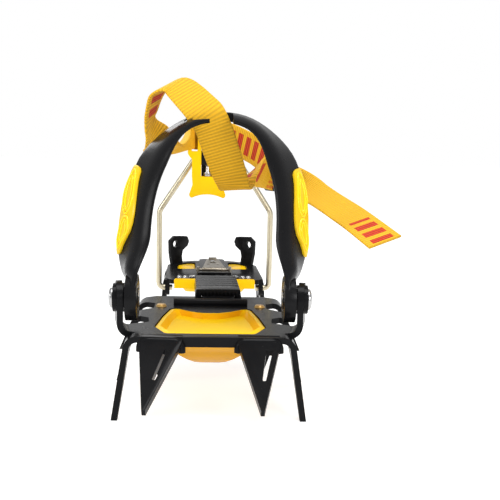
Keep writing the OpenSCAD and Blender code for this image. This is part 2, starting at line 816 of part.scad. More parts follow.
// A pressed bridge that holds the bar down on the heel section
module bar_guide() {
    inside = bar_w / 2 + 0.3;
    foot = bar_w / 2 + foot_w;
    outside = inside + guide_t;
    roof = bar_top + gap - platform_h;
    from_heel() color(steel_black)
        difference() {
            translate([0, guide_front + guide_len, platform_h])
                rotate([90, 0, 0])
                    linear_extrude(guide_len)
                        polygon(mirrored([
                            [inside, roof], [inside, 0.05], [foot, 0.05],
                            [foot, guide_t], [outside, guide_t], [outside, roof + guide_t]
                        ]));
            guide_places()
                translate([0, 0, platform_h - 1])
                    cylinder(d = guide_rivet_d + 2 * fit, h = 4 * guide_t);
        }
}
module guide_rivets() {
    from_heel() color(bright)
        guide_places() {
            translate([0, 0, plate_low]) cylinder(d = guide_rivet_d, h = sheet_t + guide_t);
            translate([0, 0, platform_h + guide_t])
                cylinder(d1 = guide_head_d, d2 = guide_head_d - 1, h = 0.9);
            translate([0, 0, plate_low - 1]) cylinder(d1 = guide_head_d - 1, d2 = guide_head_d, h = 1);
        }
}

// Latch: a sprung plate behind the guide whose pin drops into a hole of the bar
latch_t = 1.6;
latch_lift = 1.5;
hinge_d = 2;
barrel_d = 3.6;
plate_sunk = 0.6;
latch_tail = 8;
hinge_back = 7;
latch_hinge_y = guide_front + guide_len + hinge_back;
latch_hinge_z = bar_top + barrel_d / 2 + 0.2;
pin_d = bar_hole_d - 1;
module at_latch() {
    from_heel() translate([0, latch_hinge_y, latch_hinge_z]) children();
}
latch_reach = latch_hole_y - latch_hinge_y;
module latch_plate() {
    end = latch_reach + latch_tail;
    half = bar_w / 2 - 1.4;
    end_half = 4.6;
    shape = rounded([[-half, -1], [half, -1], [end_half, end], [-end_half, end]], 0.8, 4);
    at_latch() color(grey_steel)
        difference() {
            union() {
                translate([0, 0, -plate_sunk]) rotate([latch_lift, 0, 0]) {
                    linear_extrude(latch_t)
                        difference() {
                            polygon(shape);
                            for (x = [-3.6, 3.6]) translate([x, latch_reach / 2]) circle(d = 2.2);
                            translate([0, latch_reach - 8]) circle(d = 5);
                        }
                    translate([-3, end - 1.6, 0]) cube([6, 1.6, latch_t + 1.5]);
                }
                rotate([0, 90, 0]) translate([0, 0, -half]) cylinder(d = barrel_d, h = 2 * half);
            }
            rotate([0, 90, 0]) translate([0, 0, -bar_w]) cylinder(d = hinge_d + 2 * fit, h = 2 * bar_w);
            translate([0, latch_reach, -bar_w / 2]) cylinder(d = pin_d - 0.8 + 2 * fit, h = bar_w);
        }
}
module latch_pin() {
    // Its lower end stands just above the bar, and drops into a hole when the latch closes
    low = bar_top + gap - latch_hinge_z;
    under = latch_reach * sin(latch_lift) - plate_sunk;
    at_latch() color(bright)
        translate([0, latch_reach, low]) {
            cylinder(d = pin_d, h = under - low - 0.15);
            cylinder(d = pin_d - 0.8, h = under - low + latch_t + 0.5);
        }
}
module latch_hinge_pin() {
    cheek = 2;
    at_latch() color(bright) {
        rotate([0, 90, 0])
            translate([0, 0, -bar_w / 2 - 1.5 * cheek])
                cylinder(d = hinge_d, h = bar_w + 3 * cheek);
        both_sides()
            translate([bar_w / 2 + 0.5, -2.4, platform_h + 0.05 - latch_hinge_z])
                cube([cheek, 4.8, latch_hinge_z - platform_h + 2]);
    }
}

// Heel bail: one bent wire, its ends turned in through the heel section's ears
knee_r = 8;
foot_r = 3.6;
top_r = 4;
cross_half = 14;
wire_sides = 12;
arc_steps = 4;
wire_rise = cross_h - (wire_pivot_z - platform_h);
wire_shoulder = shoulder_h - (wire_pivot_z - platform_h);
wire_slope = atan2(wire_half - cross_half, wire_rise - wire_shoulder);
function arc(c, r, from, to) =
    [for (k = [0 : arc_steps]) let (a = from + (to - from) * k / arc_steps) c + r * [cos(a), sin(a)]];
// Half of the wire's centre line: X across and Y up from the pivot, from the cross bar to the turned end
function wire_line() =
    let (k = knee_r * tan(wire_slope / 2), q = top_r * tan((90 - wire_slope) / 2))
    concat(
        arc([cross_half - q, wire_rise - top_r], top_r, 90, wire_slope),
        arc([wire_half - knee_r, wire_shoulder - k], knee_r, wire_slope, 0),
        arc([wire_half - foot_r, foot_r], foot_r, 0, -90),
        [[heel_half_w - sheet_t - 1.5, 0]]
    );
function wire_ring(line, i) =
    let (t = unit2(line[min(len(line) - 1, i + 1)] - line[max(0, i - 1)]), r = wire_d / 2 - eps)
    [for (k = [0 : wire_sides - 1])
        let (a = 360 * k / wire_sides)
        [line[i][0] - t[1] * r * cos(a), r * sin(a), line[i][1] + t[0] * r * cos(a)]];
module heel_wire() {
    half = wire_line();
    line = concat([for (i = [len(half) - 1 : -1 : 0]) [-half[i][0], half[i][1]]], half);
    pin_in = heel_half_w - sheet_t - 1.5;
    from_heel() color(champagne)
        translate([0, wire_pivot_y, wire_pivot_z]) {
            skin([for (i = [0 : len(line) - 1]) wire_ring(line, i)]);
            // The turned ends and the cross bar are round bearings
            both_sides()
                translate([pin_in - 0.5, 0, 0])
                    rotate([0, 90, 0])
                        cylinder(d = wire_d, h = wire_half - foot_r - pin_in + 0.3);
            translate([-cross_half + 2, 0, wire_rise])
                rotate([0, 90, 0])
                    cylinder(d = wire_d, h = 2 * cross_half - 4);
        }
}

// Lever: a moulded plate in front of the wire, with a window for the slider
lever_low = 58;
lever_high = 115;
slot_low = 90.5;
slot_place = 9.2;
slot_wide = 4;
window_low = 73;
window_high = 94;
window_w = 9;
lever_front = 3;
screw_y = -lever_front - lever_t / 2;
block_low = 81;
hub_w = 11;
head_h = 2.6;
module at_cross() {
    from_heel() translate([lever_shift, wire_pivot_y, platform_h]) children();
}
module lever_slider() {
    at_cross() color(plastic_black)
        difference() {
            union() {
                translate([-window_w / 2 + 0.2, -lever_front - lever_t - 0.6, block_low])
                    cube([window_w - 0.4, lever_t + 1.2, window_high - block_low - 3]);
                translate([-hub_w / 2, -lever_front + gap, block_low])
                    cube([hub_w, 6, window_high - block_low - 3]);
            }
            translate([-window_w, 0, cross_h]) rotate([0, 90, 0])
                cylinder(d = wire_d + 2 * fit, h = 2 * window_w);
            translate([0, screw_y, block_low - 1])
                cylinder(d = screw_d + 2 * fit, h = window_high - block_low + 2);
        }
}
module heel_lever() {
    half = lever_w / 2;
    shape = mirrored([
        [half, lever_low], [half - 3, lever_low + 9], [11, window_low], [11, slot_low - 6],
        [14, slot_low - 2], [14, lever_high]
    ]);
    at_cross() color(yellow)
        difference() {
            translate([0, -lever_front, 0])
                rotate([90, 0, 0])
                    linear_extrude(lever_t)
                        difference() {
                            polygon(rounded(shape, 2, 4));
                            translate([-window_w / 2, window_low])
                                square([window_w, window_high - window_low]);
                            for (x = [-1, 1])
                                translate([slot_place * x - slot_wide / 2, slot_low])
                                    square([slot_wide, strap_w + 2]);
                            translate([0, lever_low - 22]) circle(r = 24.5);
                        }
            translate([0, screw_y, window_low - 6]) cylinder(d = screw_d + 2 * fit, h = 8);
            translate([0, screw_y, window_high - 1]) cylinder(d = screw_d + 2 * fit, h = 4);
        }
}
module adjust_screw() {
    at_cross() color(bright)
        translate([0, screw_y, 0])
            difference() {
                union() {
                    translate([0, 0, window_low - 5])
                        cylinder(d = screw_d, h = window_high - window_low + 7);
                    translate([0, 0, window_low + 0.2]) cylinder(d = 5.4, h = head_h);
                }
                for (a = [0 : 60 : 300])
                    rotate([0, 0, a])
                        translate([2.9, 0, window_low - 1])
                            cylinder(d = 1, h = head_h + 2, $fn = 16);
            }
}

// Strap: a flat ribbon along hand-chosen points, each with the direction of its width.
// Points are from the toe pivot: across, back and above the platform.
strap_route = [
    [[42.5, 107, 81], [0.25, 0.1, 1]], [[36, 116, 86], [0.1, 0.1, 1]],
    [[26, 132, 93], [0, 0, 1]], [[13, 148, 99.5], [0, 0, 1]],
    [[6.6, 156, 101.2], [0, 0, 1]], [[5, 163.6, 101.5], [0, 0, 1]],
    [[-3.5, 166.3, 101.5], [0, 0, 1]], [[-12, 163.6, 101.5], [0, 0, 1]],
    [[-13.8, 156, 101.8], [0, 0, 1]], [[-18, 130, 99.8], [0.25, 0.1, 1]],
    [[-22, 102, 94.5], [0.75, 0.1, 0.6]], [[-27.5, 77, 92.7], [1, 0, 0.2]],
    [[-31.9, 56, 96.6], [0.75, 0.6, 0.2]], [[-35.3, 47, 104.9], [0.2, 0.95, 0.1]],
    [[-34.2, 43, 113], [0.2, 0.98, 0]], [[-30.9, 38.5, 121.9], [0.3, 0.95, 0.1]],
    [[-25.5, 34, 126.3], [0.36, 0.88, 0.3]], [[-19.7, 31, 126.2], [0.68, 0.6, 0.4]],
    [[-12.6, 27, 120.3], [0.88, 0.33, 0.32]], [[-4.4, 23.5, 111.6], [1, 0.1, 0.17]],
    [[0, 27, 104], [1, 0, 0.08]], [[4.3, 32, 92.5], [1, -0.05, 0.15]],
    [[8.2, 36.6, 82], [1, -0.2, 0.15]], [[11, 40.2, 74.6], [0.9, -0.4, 0.1]],
    [[12.8, 43.8, 70.9], [0.87, -0.49, 0.08]], [[14.6, 48.2, 71.9], [0.88, -0.45, 0.1]],
    [[17.6, 54, 76], [0.9, -0.2, 0.4]], [[27.3, 76, 79.5], [0.55, 0.1, 0.8]],
    [[46, 104, 75], [0.33, 0.1, 0.93]], [[61, 75, 68], [0.3, 0.8, 0.45]],
    [[78, 37, 57], [0.2, 0.9, 0.4]], [[91, 4, 46.5], [0.15, 0.9, 0.4]]
];
strap_fine = 4;
function unit3(v) = v / norm(v);
function spline(p, i, s) =
    let (n = len(p) - 1, a = p[max(0, i - 1)], b = p[i], c = p[min(n, i + 1)], d = p[min(n, i + 2)])
    0.5 * (2 * b + (c - a) * s + (2 * a - 5 * b + 4 * c - d) * s * s + (3 * b - a - 3 * c + d) * s * s * s);
function fine(p, n) = [for (i = [0 : len(p) - 2], k = [0 : n - 1]) spline(p, i, k / n), p[len(p) - 1]];
module strap_webbing() {
    line = fine([for (r = strap_route) r[0]], strap_fine);
    wide = fine([for (r = strap_route) r[1]], strap_fine);
    n = len(line) - 1;
    rings = [for (i = [0 : n])
        let (t = unit3(line[min(n, i + 1)] - line[max(0, i - 1)]), w0 = wide[i] - t * (wide[i] * t))
        let (w = unit3(w0) * strap_w / 2, h = cross(t, unit3(w0)) * strap_t / 2)
        [line[i] - w - h, line[i] - h, line[i] + w - h, line[i] + w + h, line[i] + h, line[i] - w + h]];
    from_pivot() translate([0, 0, platform_h]) color(webbing) skin(rings);
}
module strap_buckle() {
    wire = 2.4;
    wide = strap_w + 5;
    deep = 12;
    from_pivot() color(steel_black)
        translate([46, 101, platform_h + 74])
            rotate([0, 0, -62]) rotate([35, 0, 0])
                for (y = [-4, 0])
                    translate([0, y, 0])
                        difference() {
                            translate([-wide / 2, -deep / 2, -wire / 2 + y * 0.2]) cube([wide, deep, wire]);
                            translate([-wide / 2 + wire, wire - deep / 2, -wire + y * 0.2])
                                cube([wide - 2 * wire, deep - 2 * wire, 2 * wire]);
                        }
}

front_frame();
front_antiball_plate();
front_plate_rivets();
toe_bail();
bail_insert_left();
bail_insert_right();
pivot_bolts();
pivot_washers();
pivot_nuts();
link_bar();
bar_shoe();
bar_rivets();
heel_frame();
heel_antiball_plate();
heel_rivets();
bar_guide();
guide_rivets();
latch_plate();
latch_pin();
latch_hinge_pin();
heel_wire();
lever_slider();
heel_lever();
adjust_screw();
strap_webbing();
strap_buckle();
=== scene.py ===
"""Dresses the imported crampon: steel and plastic finishes, webbing, ridges and stitches,
and a pale studio."""

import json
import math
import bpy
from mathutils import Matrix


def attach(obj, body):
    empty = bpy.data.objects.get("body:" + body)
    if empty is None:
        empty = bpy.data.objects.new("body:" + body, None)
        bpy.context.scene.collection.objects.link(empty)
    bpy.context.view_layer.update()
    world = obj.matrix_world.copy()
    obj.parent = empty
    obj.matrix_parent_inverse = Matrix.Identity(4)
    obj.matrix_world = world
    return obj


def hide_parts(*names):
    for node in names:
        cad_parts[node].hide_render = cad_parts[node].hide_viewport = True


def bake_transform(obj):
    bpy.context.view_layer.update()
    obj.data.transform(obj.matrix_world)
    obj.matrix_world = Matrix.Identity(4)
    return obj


bl_info = {
    "name": "Crampon Dressing",
    "version": (1, 0, 0),
    "blender": (4, 5, 0),
    "location": "View3D > Sidebar > Crampon",
    "description": "Finishes, webbing and studio for a semi-automatic crampon",
    "category": "Object",
}

from types import SimpleNamespace

import bmesh
import bpy
from bpy.props import FloatProperty, FloatVectorProperty, IntProperty, PointerProperty
from mathutils import Matrix, Vector

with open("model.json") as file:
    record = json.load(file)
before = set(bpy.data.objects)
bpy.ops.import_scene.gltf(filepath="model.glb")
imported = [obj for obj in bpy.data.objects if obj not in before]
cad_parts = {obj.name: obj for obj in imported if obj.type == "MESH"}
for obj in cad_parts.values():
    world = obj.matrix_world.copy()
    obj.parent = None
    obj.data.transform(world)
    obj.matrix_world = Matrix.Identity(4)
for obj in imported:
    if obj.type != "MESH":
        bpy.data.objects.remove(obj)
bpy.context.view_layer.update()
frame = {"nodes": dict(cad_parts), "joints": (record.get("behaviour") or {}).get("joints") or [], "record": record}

MM = 0.001
FULL_TURN = 2 * math.pi
WHITE = (1, 1, 1, 1)
JOINTS = {joint["name"]: joint for joint in frame["joints"]}
MOUNTS = {mount["name"]: mount for mount in frame["record"]["mounts"]}
TOE_PIVOT = Vector(JOINTS["toe_bail_swing"]["pos_m"])
PLATFORM_Z = MOUNTS["boot_platform"]["pos_m"][2]


def colour_property(name, description, default):
    return FloatVectorProperty(
        name=name, description=description, subtype="COLOR", size=3, min=0, max=1, default=default
    )


def length_property(name, description, default):
    return FloatProperty(name=name, description=description, unit="LENGTH", min=0, default=default)


def angle_property(name, description, degrees):
    return FloatProperty(
        name=name, description=description, subtype="ANGLE", default=math.radians(degrees)
    )


def count_property(name, description, least, default):
    return IntProperty(name=name, description=description, min=least, default=default)


class CramponColours(bpy.types.PropertyGroup):
    coated_steel: colour_property(
        "Coated steel", "Black coating of the pressed sections", (0.0045, 0.0045, 0.005)
    )
    moulded_black: colour_property(
        "Black plastic", "Toe bail, shoe, spacers and carriage", (0.005, 0.005, 0.0055)
    )
    moulded_yellow: colour_property(
        "Yellow plastic", "Anti-balling plates, inlays and lever", (0.94, 0.60, 0.008)
    )
    webbing_gold: colour_property("Webbing", "Warp of the ankle strap", (0.77, 0.40, 0.009))
    webbing_bar: colour_property(
        "Webbing bars", "Woven bars and stitches of the ankle strap", (0.55, 0.045, 0.012)
    )
    brass: colour_property("Brass", "Rivets of the front plate", (0.60, 0.38, 0.13))
    zinc: colour_property("Zinc", "Bolts, rivets and screw", (0.50, 0.50, 0.50))
    spring_wire: colour_property("Spring wire", "Drawn wire of the heel bail", (0.62, 0.56, 0.41))
    raw_steel: colour_property("Raw steel", "Latch plate and its hinge", (0.30, 0.27, 0.22))
    floor: colour_property("Floor", "Studio floor", (0.60, 0.60, 0.60))


class CramponSizes(bpy.types.PropertyGroup):
    strap_width: length_property("Strap width", "Width of the webbing", 20 * MM)
    strap_thickness: length_property("Strap thickness", "Thickness of the webbing", 1.6 * MM)
    rib_pitch: length_property("Rib pitch", "Spacing of the webbing's cross ribs", 1.8 * MM)
    rib_depth: length_property("Rib depth", "Depth of the grooves between cross ribs", 0.18 * MM)
    edge_round: length_property("Edge rounding", "Rounding of pressed and moulded edges", 0.35 * MM)
    ridge_radius: length_property("Ridge radius", "Radius of the inlays' ridges", 0.7 * MM)
    inlay_ridges: count_property("Inlay ridges", "Ridges inside each other in a lobe", 1, 2)
    stitch_rows: count_property("Stitch rows", "Rows of stitches in the bar tack", 2, 7)


class CramponStudio(bpy.types.PropertyGroup):
    lens: FloatProperty(
        name="Lens", description="Focal length on a 36 mm sensor", unit="CAMERA", default=59.9
    )
    camera_yaw: angle_property("Yaw", "Camera turn towards +X", 2.72)
    camera_pitch: angle_property("Pitch", "Camera tilt down", 7.19)
    camera_roll: angle_property("Roll", "Camera roll", 1.25)
    camera_place: FloatVectorProperty(
        name="Place", description="Camera position", subtype="TRANSLATION", size=3,
        default=(-0.0004, -0.5209, 0.1395),
    )
    sky: FloatProperty(name="Sky", description="Light of the white surround", min=0, default=0.6)
    backdrop: FloatProperty(
        name="Backdrop", description="Brightness of the surround itself", min=0, default=1.0
    )


PROPERTY_GROUPS = {
    "crampon_colours": CramponColours,
    "crampon_sizes": CramponSizes,
    "crampon_studio": CramponStudio,
}


def colours():
    return bpy.context.scene.crampon_colours


def sizes():
    return bpy.context.scene.crampon_sizes


class Shade:
    """A node's output whose operators add Math nodes."""

    def __init__(self, nodes, socket):
        self.nodes = nodes
        self.socket = socket

    def _math(self, operation, *values):
        return self.nodes.add("ShaderNodeMath", {"operation": operation}, dict(enumerate(values)))

    def __add__(self, other):
        return self._math("ADD", self, other)

    def __sub__(self, other):
        return self._math("SUBTRACT", self, other)

    def __rsub__(self, other):
        return self._math("SUBTRACT", other, self)

    def __mul__(self, other):
        return self._math("MULTIPLY", self, other)

    __radd__ = __add__
    __rmul__ = __mul__

    def above(self, other):
        return self._math("GREATER_THAN", self, other)

    def below(self, other):
        return self._math("LESS_THAN", self, other)

    def wave(self):
        return self._math("SINE", self)

    def fraction(self):
        return self._math("FRACT", self)

    def size(self):
        return self._math("ABSOLUTE", self)

    def held(self):
        """The value kept between 0 and 1."""
        return self._math("MINIMUM", self._math("MAXIMUM", self, 0.0), 1.0)


class NodeTree:
    """A node tree whose nodes all come from one method."""

    def __init__(self, tree):
        self.tree = tree

    def add(self, kind, settings=None, sockets=None, output=0):
        """Adds a node, applies its settings and then its sockets, and returns one output."""
        node = self.tree.nodes.new(kind)
        for key, value in (settings or {}).items():
            setattr(node, key, value)
        for key, value in (sockets or {}).items():
            self.feed(node.inputs[key], value)
        return Shade(self, node.outputs[output]) if node.outputs else None

    def feed(self, socket, value):
        """Links a node's output to a socket, or sets the socket's own value."""
        if isinstance(value, Shade):
            self.tree.links.new(value.socket, socket)
        else:
            socket.default_value = value


class Finish(NodeTree):
    """A material on one Principled shader."""

    def __init__(self, name):
        self.material = bpy.data.materials.new(name)
        self.material.use_nodes = True
        super().__init__(self.material.node_tree)
        self.shader = self.tree.nodes["Principled BSDF"]

    def surface(self, **values):
        """Sets the shader's sockets, with underscores for spaces."""
        for key, value in values.items():
            self.feed(self.shader.inputs[key.replace("_", " ")], value)
        return self

    def place(self):
        return self.add("ShaderNodeTexCoord", output="Object")

    def part(self, vector, axis):
        return self.add("ShaderNodeSeparateXYZ", None, {0: vector}, output=axis)

    def noise(self, scale, detail, where=None):
        sockets = {"Vector": where or self.place(), "Scale": scale, "Detail": detail}
        return self.add("ShaderNodeTexNoise", {"noise_dimensions": "3D"}, sockets)

    def blend(self, factor, first, second):
        sockets = {0: factor, 6: first, 7: second}
        return self.add("ShaderNodeMix", {"data_type": "RGBA"}, sockets, output=2)

    def bump(self, height, distance, strength):
        sockets = {"Height": height, "Distance": distance, "Strength": strength}
        return self.surface(Normal=self.add("ShaderNodeBump", None, sockets))

    def mottle(self, tone, scale, detail, dark, light):
        """Lets the base colour waver between a darker and a lighter tone."""
        cloud = self.noise(scale, detail)
        return self.surface(Base_Color=self.blend(cloud, solid(tone, dark), solid(tone, light)))

    def sheen(self, scale, detail, least, spread, **others):
        """Lets the roughness waver from its least value up."""
        return self.surface(Roughness=self.noise(scale, detail) * spread + least, **others)


def solid(colour, gain=1.0):
    """A colour made lighter or darker, with full alpha."""
    return tuple(min(1.0, channel * gain) for channel in colour) + (1.0,)


def tinted(colour, shares):
    """A colour with a share of each channel, with full alpha."""
    return tuple(channel * share for channel, share in zip(colour, shares)) + (1.0,)


def coated_steel():
    """Black electro-coat: satin, with a fine orange peel and dusty patches."""
    finish = Finish("coated_steel")
    peel = finish.noise(scale=1100, detail=2)
    finish.mottle(colours().coated_steel, scale=38, detail=4, dark=0.7, light=2.1)
    finish.sheen(scale=160, detail=3, least=0.16, spread=0.16, Specular_IOR_Level=0.08)
    return finish.bump(peel, distance=0.00006, strength=0.5).material


def moulded_black():
    """Black nylon with a spark-eroded grain."""
    finish = Finish("moulded_black")
    grain = finish.noise(scale=2600, detail=3)
    finish.mottle(colours().moulded_black, scale=24, detail=3, dark=0.75, light=1.9)
    finish.sheen(scale=300, detail=2, least=0.18, spread=0.14, Specular_IOR_Level=0.10)
    return finish.bump(grain, distance=0.00005, strength=0.5).material


def glossy_yellow(name, base_colour, specular):
    """Glossy yellow elastomer with soft flow marks, coloured by a function of finish and tone."""
    finish = Finish(name)
    finish.surface(Base_Color=base_colour(finish, colours().moulded_yellow))
    finish.sheen(scale=220, detail=2, least=0.16, spread=0.10, Specular_IOR_Level=specular)
    flow = finish.noise(scale=140, detail=2)
    return finish.bump(flow, distance=0.00010, strength=0.35).material


def flowing_yellow(finish, tone):
    """Yellow with deeper flow marks."""
    deep = tinted(tone, (0.93, 0.80, 0.5))
    return finish.blend(finish.noise(scale=30, detail=3), deep, solid(tone))


def yellow_with_painted_shade(finish, tone):
    """Yellow with painted shade: a deeper orange painted on steep walls, and an amber painted shade on the belly
    under a tray.
    """
    belly_shade_top, belly_shade_fade, wall_shade_gain = PLATFORM_Z - 5 * MM, 250, 2
    # Painted shade colours: a deeper orange for steep walls and an amber for the belly
    deep, amber_shade = tinted(tone, (0.86, 0.62, 0.4)), tinted(tone, (0.66, 0.50, 0.3))
    upward = finish.part(finish.add("ShaderNodeTexCoord", output="Normal"), "Z")
    height = finish.part(finish.place(), "Z")
    # Painted shade masks: walls that turn away from facing up, and the belly below the platform, broken up by
    # noise
    wall_shade = ((1 - upward) * wall_shade_gain).held()
    belly_shade = ((belly_shade_top - height) * belly_shade_fade).held()
    cloud = finish.noise(scale=40, detail=3) * 0.3 + 0.7
    return finish.blend(belly_shade * cloud, finish.blend(wall_shade, solid(tone), deep), amber_shade)


def inlay_yellow(name, gain):
    """Yellow elastomer of the bail's inlays at a gain of its tone; the ridges' paler copy is a painted highlight.
    """
    finish = Finish(name)
    finish.mottle(colours().moulded_yellow, scale=60, detail=3, dark=gain * 0.93, light=gain)
    finish.sheen(scale=260, detail=2, least=0.18, spread=0.10, Specular_IOR_Level=0.30)
    grain = finish.noise(scale=180, detail=2)
    return finish.bump(grain, distance=0.00006, strength=0.3).material


def plated(name, rough, stretch, grain=420):
    """Bare or plated metal with drawing lines and light tarnish, in the colour of its name."""
    finish = Finish(name)
    sockets = {"Vector": finish.place(), "Scale": (stretch, 1.0, 1.0)}
    lines = finish.noise(grain, 3, finish.add("ShaderNodeMapping", None, sockets))
    finish.mottle(getattr(colours(), name), scale=70, detail=3, dark=0.72, light=1.12)
    finish.surface(Metallic=1.0, Roughness=lines * 0.16 + rough)
    return finish.bump(lines, distance=0.00003, strength=0.5).material


# The webbing's threads and woven bars, in metres, and the share of a pitch that a bar fills
THREAD_ACROSS, THREAD_ALONG = 0.0008, 0.0016
BAR_PITCH, BAR_HALF_LENGTH, BAR_SHARE = 0.0085, 0.0063, 0.6


def strap_weave():
    """Woven polyester: herringbone threads, cross ribs with painted shade that is darker between the ribs, and
    bars in a second colour.
    """
    finish = Finish("strap_weave")
    gold, red = colours().webbing_gold, colours().webbing_bar
    coords = finish.add("ShaderNodeUVMap", {"uv_map": "weave"})
    along, across = finish.part(coords, "X"), finish.part(coords, "Y")
    pick = (along * (FULL_TURN / sizes().rib_pitch)).wave()
    thread = (across * (FULL_TURN / THREAD_ACROSS) + along * (FULL_TURN / THREAD_ALONG)).wave()
    fuzz = finish.noise(scale=900, detail=3)
    zone = finish.add("ShaderNodeAttribute", {"attribute_name": "bars"}, output="Fac")
    in_bar = (along * (1 / BAR_PITCH)).fraction().below(BAR_SHARE)
    bars = zone.above(0.5) * in_bar * across.size().below(BAR_HALF_LENGTH)
    # Painted shade: the gold and the red bars are darker in the grooves between cross ribs and lighter on the ribs
    painted_rib_shade = pick * 0.5 + 0.5
    ground_with_painted_shade = finish.blend(painted_rib_shade, solid(gold, 0.66), solid(gold, 1.08))
    threads = finish.blend(thread * 0.10 + fuzz * 0.35, ground_with_painted_shade, tinted(gold, (1, 1.3, 4)))
    dyed_with_painted_shade = finish.blend(painted_rib_shade, solid(red, 0.5), solid(red, 1.2))
    finish.surface(Base_Color=finish.blend(bars, threads, dyed_with_painted_shade))
    finish.surface(Roughness=fuzz * 0.2 + 0.55, Specular_IOR_Level=0.25)
    return finish.bump(pick * 0.6 + thread * 0.4, distance=0.00012, strength=0.8).material


def webbing_thread():
    """Sewing thread in the colour of the woven bars."""
    finish = Finish("webbing_thread")
    finish.mottle(colours().webbing_bar, scale=1500, detail=2, dark=0.6, light=1.3)
    return finish.sheen(scale=800, detail=2, least=0.5, spread=0.2).material


def studio_floor():
    """Pale matt floor with a light of its own, as bright as the surround."""
    finish = Finish("studio_floor")
    finish.mottle(colours().floor, scale=3, detail=2, dark=0.985, light=1.0)
    finish.surface(Roughness=0.7, Emission_Color=WHITE, Emission_Strength=0.67)
    return finish.material


FINISHES = {
    "coated_steel": coated_steel,
    "moulded_black": moulded_black,
    "moulded_yellow": lambda: glossy_yellow("moulded_yellow", flowing_yellow, specular=0.06),
    # The front tray's yellow has painted shade on its walls and on its belly
    "tray_yellow": lambda: glossy_yellow("tray_yellow", yellow_with_painted_shade, specular=0.02),
    "inlay_yellow": lambda: inlay_yellow("inlay_yellow", gain=0.82),
    # The ridges' copy of the inlay yellow is painted paler: a painted highlight on the ridge tops
    "ridge_yellow": lambda: inlay_yellow("ridge_yellow", gain=1.06),
    "brass": lambda: plated("brass", rough=0.24, stretch=0.3),
    "zinc": lambda: plated("zinc", rough=0.16, stretch=0.2),
    "spring_wire": lambda: plated("spring_wire", rough=0.24, stretch=1.0, grain=60),
    "raw_steel": lambda: plated("raw_steel", rough=0.28, stretch=0.1),
    "strap_weave": strap_weave,
    "webbing_thread": webbing_thread,
    "studio_floor": studio_floor,
}


def finish_named(name):
    """The material of that name, made when it is first asked for."""
    return bpy.data.materials.get(name) or FINISHES[name]()


def body_of(node):
    """The body of the frame that holds a CAD node."""
    for body, members in frame["record"]["behaviour"]["bodies"].items():
        if node in members:
            return body
    raise ValueError(f"no body holds {node}")


def new_piece(name, mesh, finish):
    """An object at the origin with a mesh and one finish."""
    piece = bpy.data.objects.new(name, mesh)
    bpy.context.scene.collection.objects.link(piece)
    mesh.materials.clear()
    mesh.materials.append(finish_named(finish))
    return piece


# How a CAD node's triangles are merged, in metres and radians, and the angle of a sharp edge
WELD_DISTANCE, SLIVER_LENGTH = 2e-6, 5e-6
FLAT_ANGLE, SHARP_ANGLE = math.radians(0.4), math.radians(32)


def edge_angle(edge):
    return edge.calc_face_angle(0.0) if len(edge.link_faces) == 2 else 0.0


def round_edges(work, edges, rounding):
    bmesh.ops.bevel(
        work, geom=edges, offset=rounding, offset_type="OFFSET", segments=2, profile=0.6,
        affect="EDGES", clamp_overlap=True,
    )


def mesh_from(work, mesh):
    """Moves a bmesh into a mesh."""
    work.to_mesh(mesh)
    work.free()
    return mesh


def rounded_copy(node, name, finish, rounding):
    """A copy of a CAD node, facets merged, edges rounded and curves shaded smooth."""
    mesh = frame["nodes"][node].data.copy()
    mesh.name = name
    work = bmesh.new()
    work.from_mesh(mesh)
    bmesh.ops.remove_doubles(work, verts=work.verts, dist=WELD_DISTANCE)
    bmesh.ops.dissolve_limit(work, angle_limit=FLAT_ANGLE, verts=work.verts, edges=work.edges)
    bmesh.ops.dissolve_degenerate(work, edges=work.edges, dist=SLIVER_LENGTH)
    if rounding > 0:
        round_edges(work, [e for e in work.edges if edge_angle(e) > SHARP_ANGLE], rounding)
    for face in work.faces:
        face.smooth = True
    for edge in work.edges:
        edge.smooth = edge_angle(edge) < SHARP_ANGLE
    work.normal_update()
    mesh_from(work, mesh)
    if "custom_normal" in mesh.attributes:
        mesh.attributes.remove(mesh.attributes["custom_normal"])
    piece = new_piece(name, mesh, finish)
    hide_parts(node)
    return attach(piece, body_of(node))


def from_toe(x, y, z):
    """A point in millimetres from the toe pivot and the platform, as a point of the frame."""
    return Vector((x * MM, TOE_PIVOT.y + y * MM, PLATFORM_Z + z * MM))


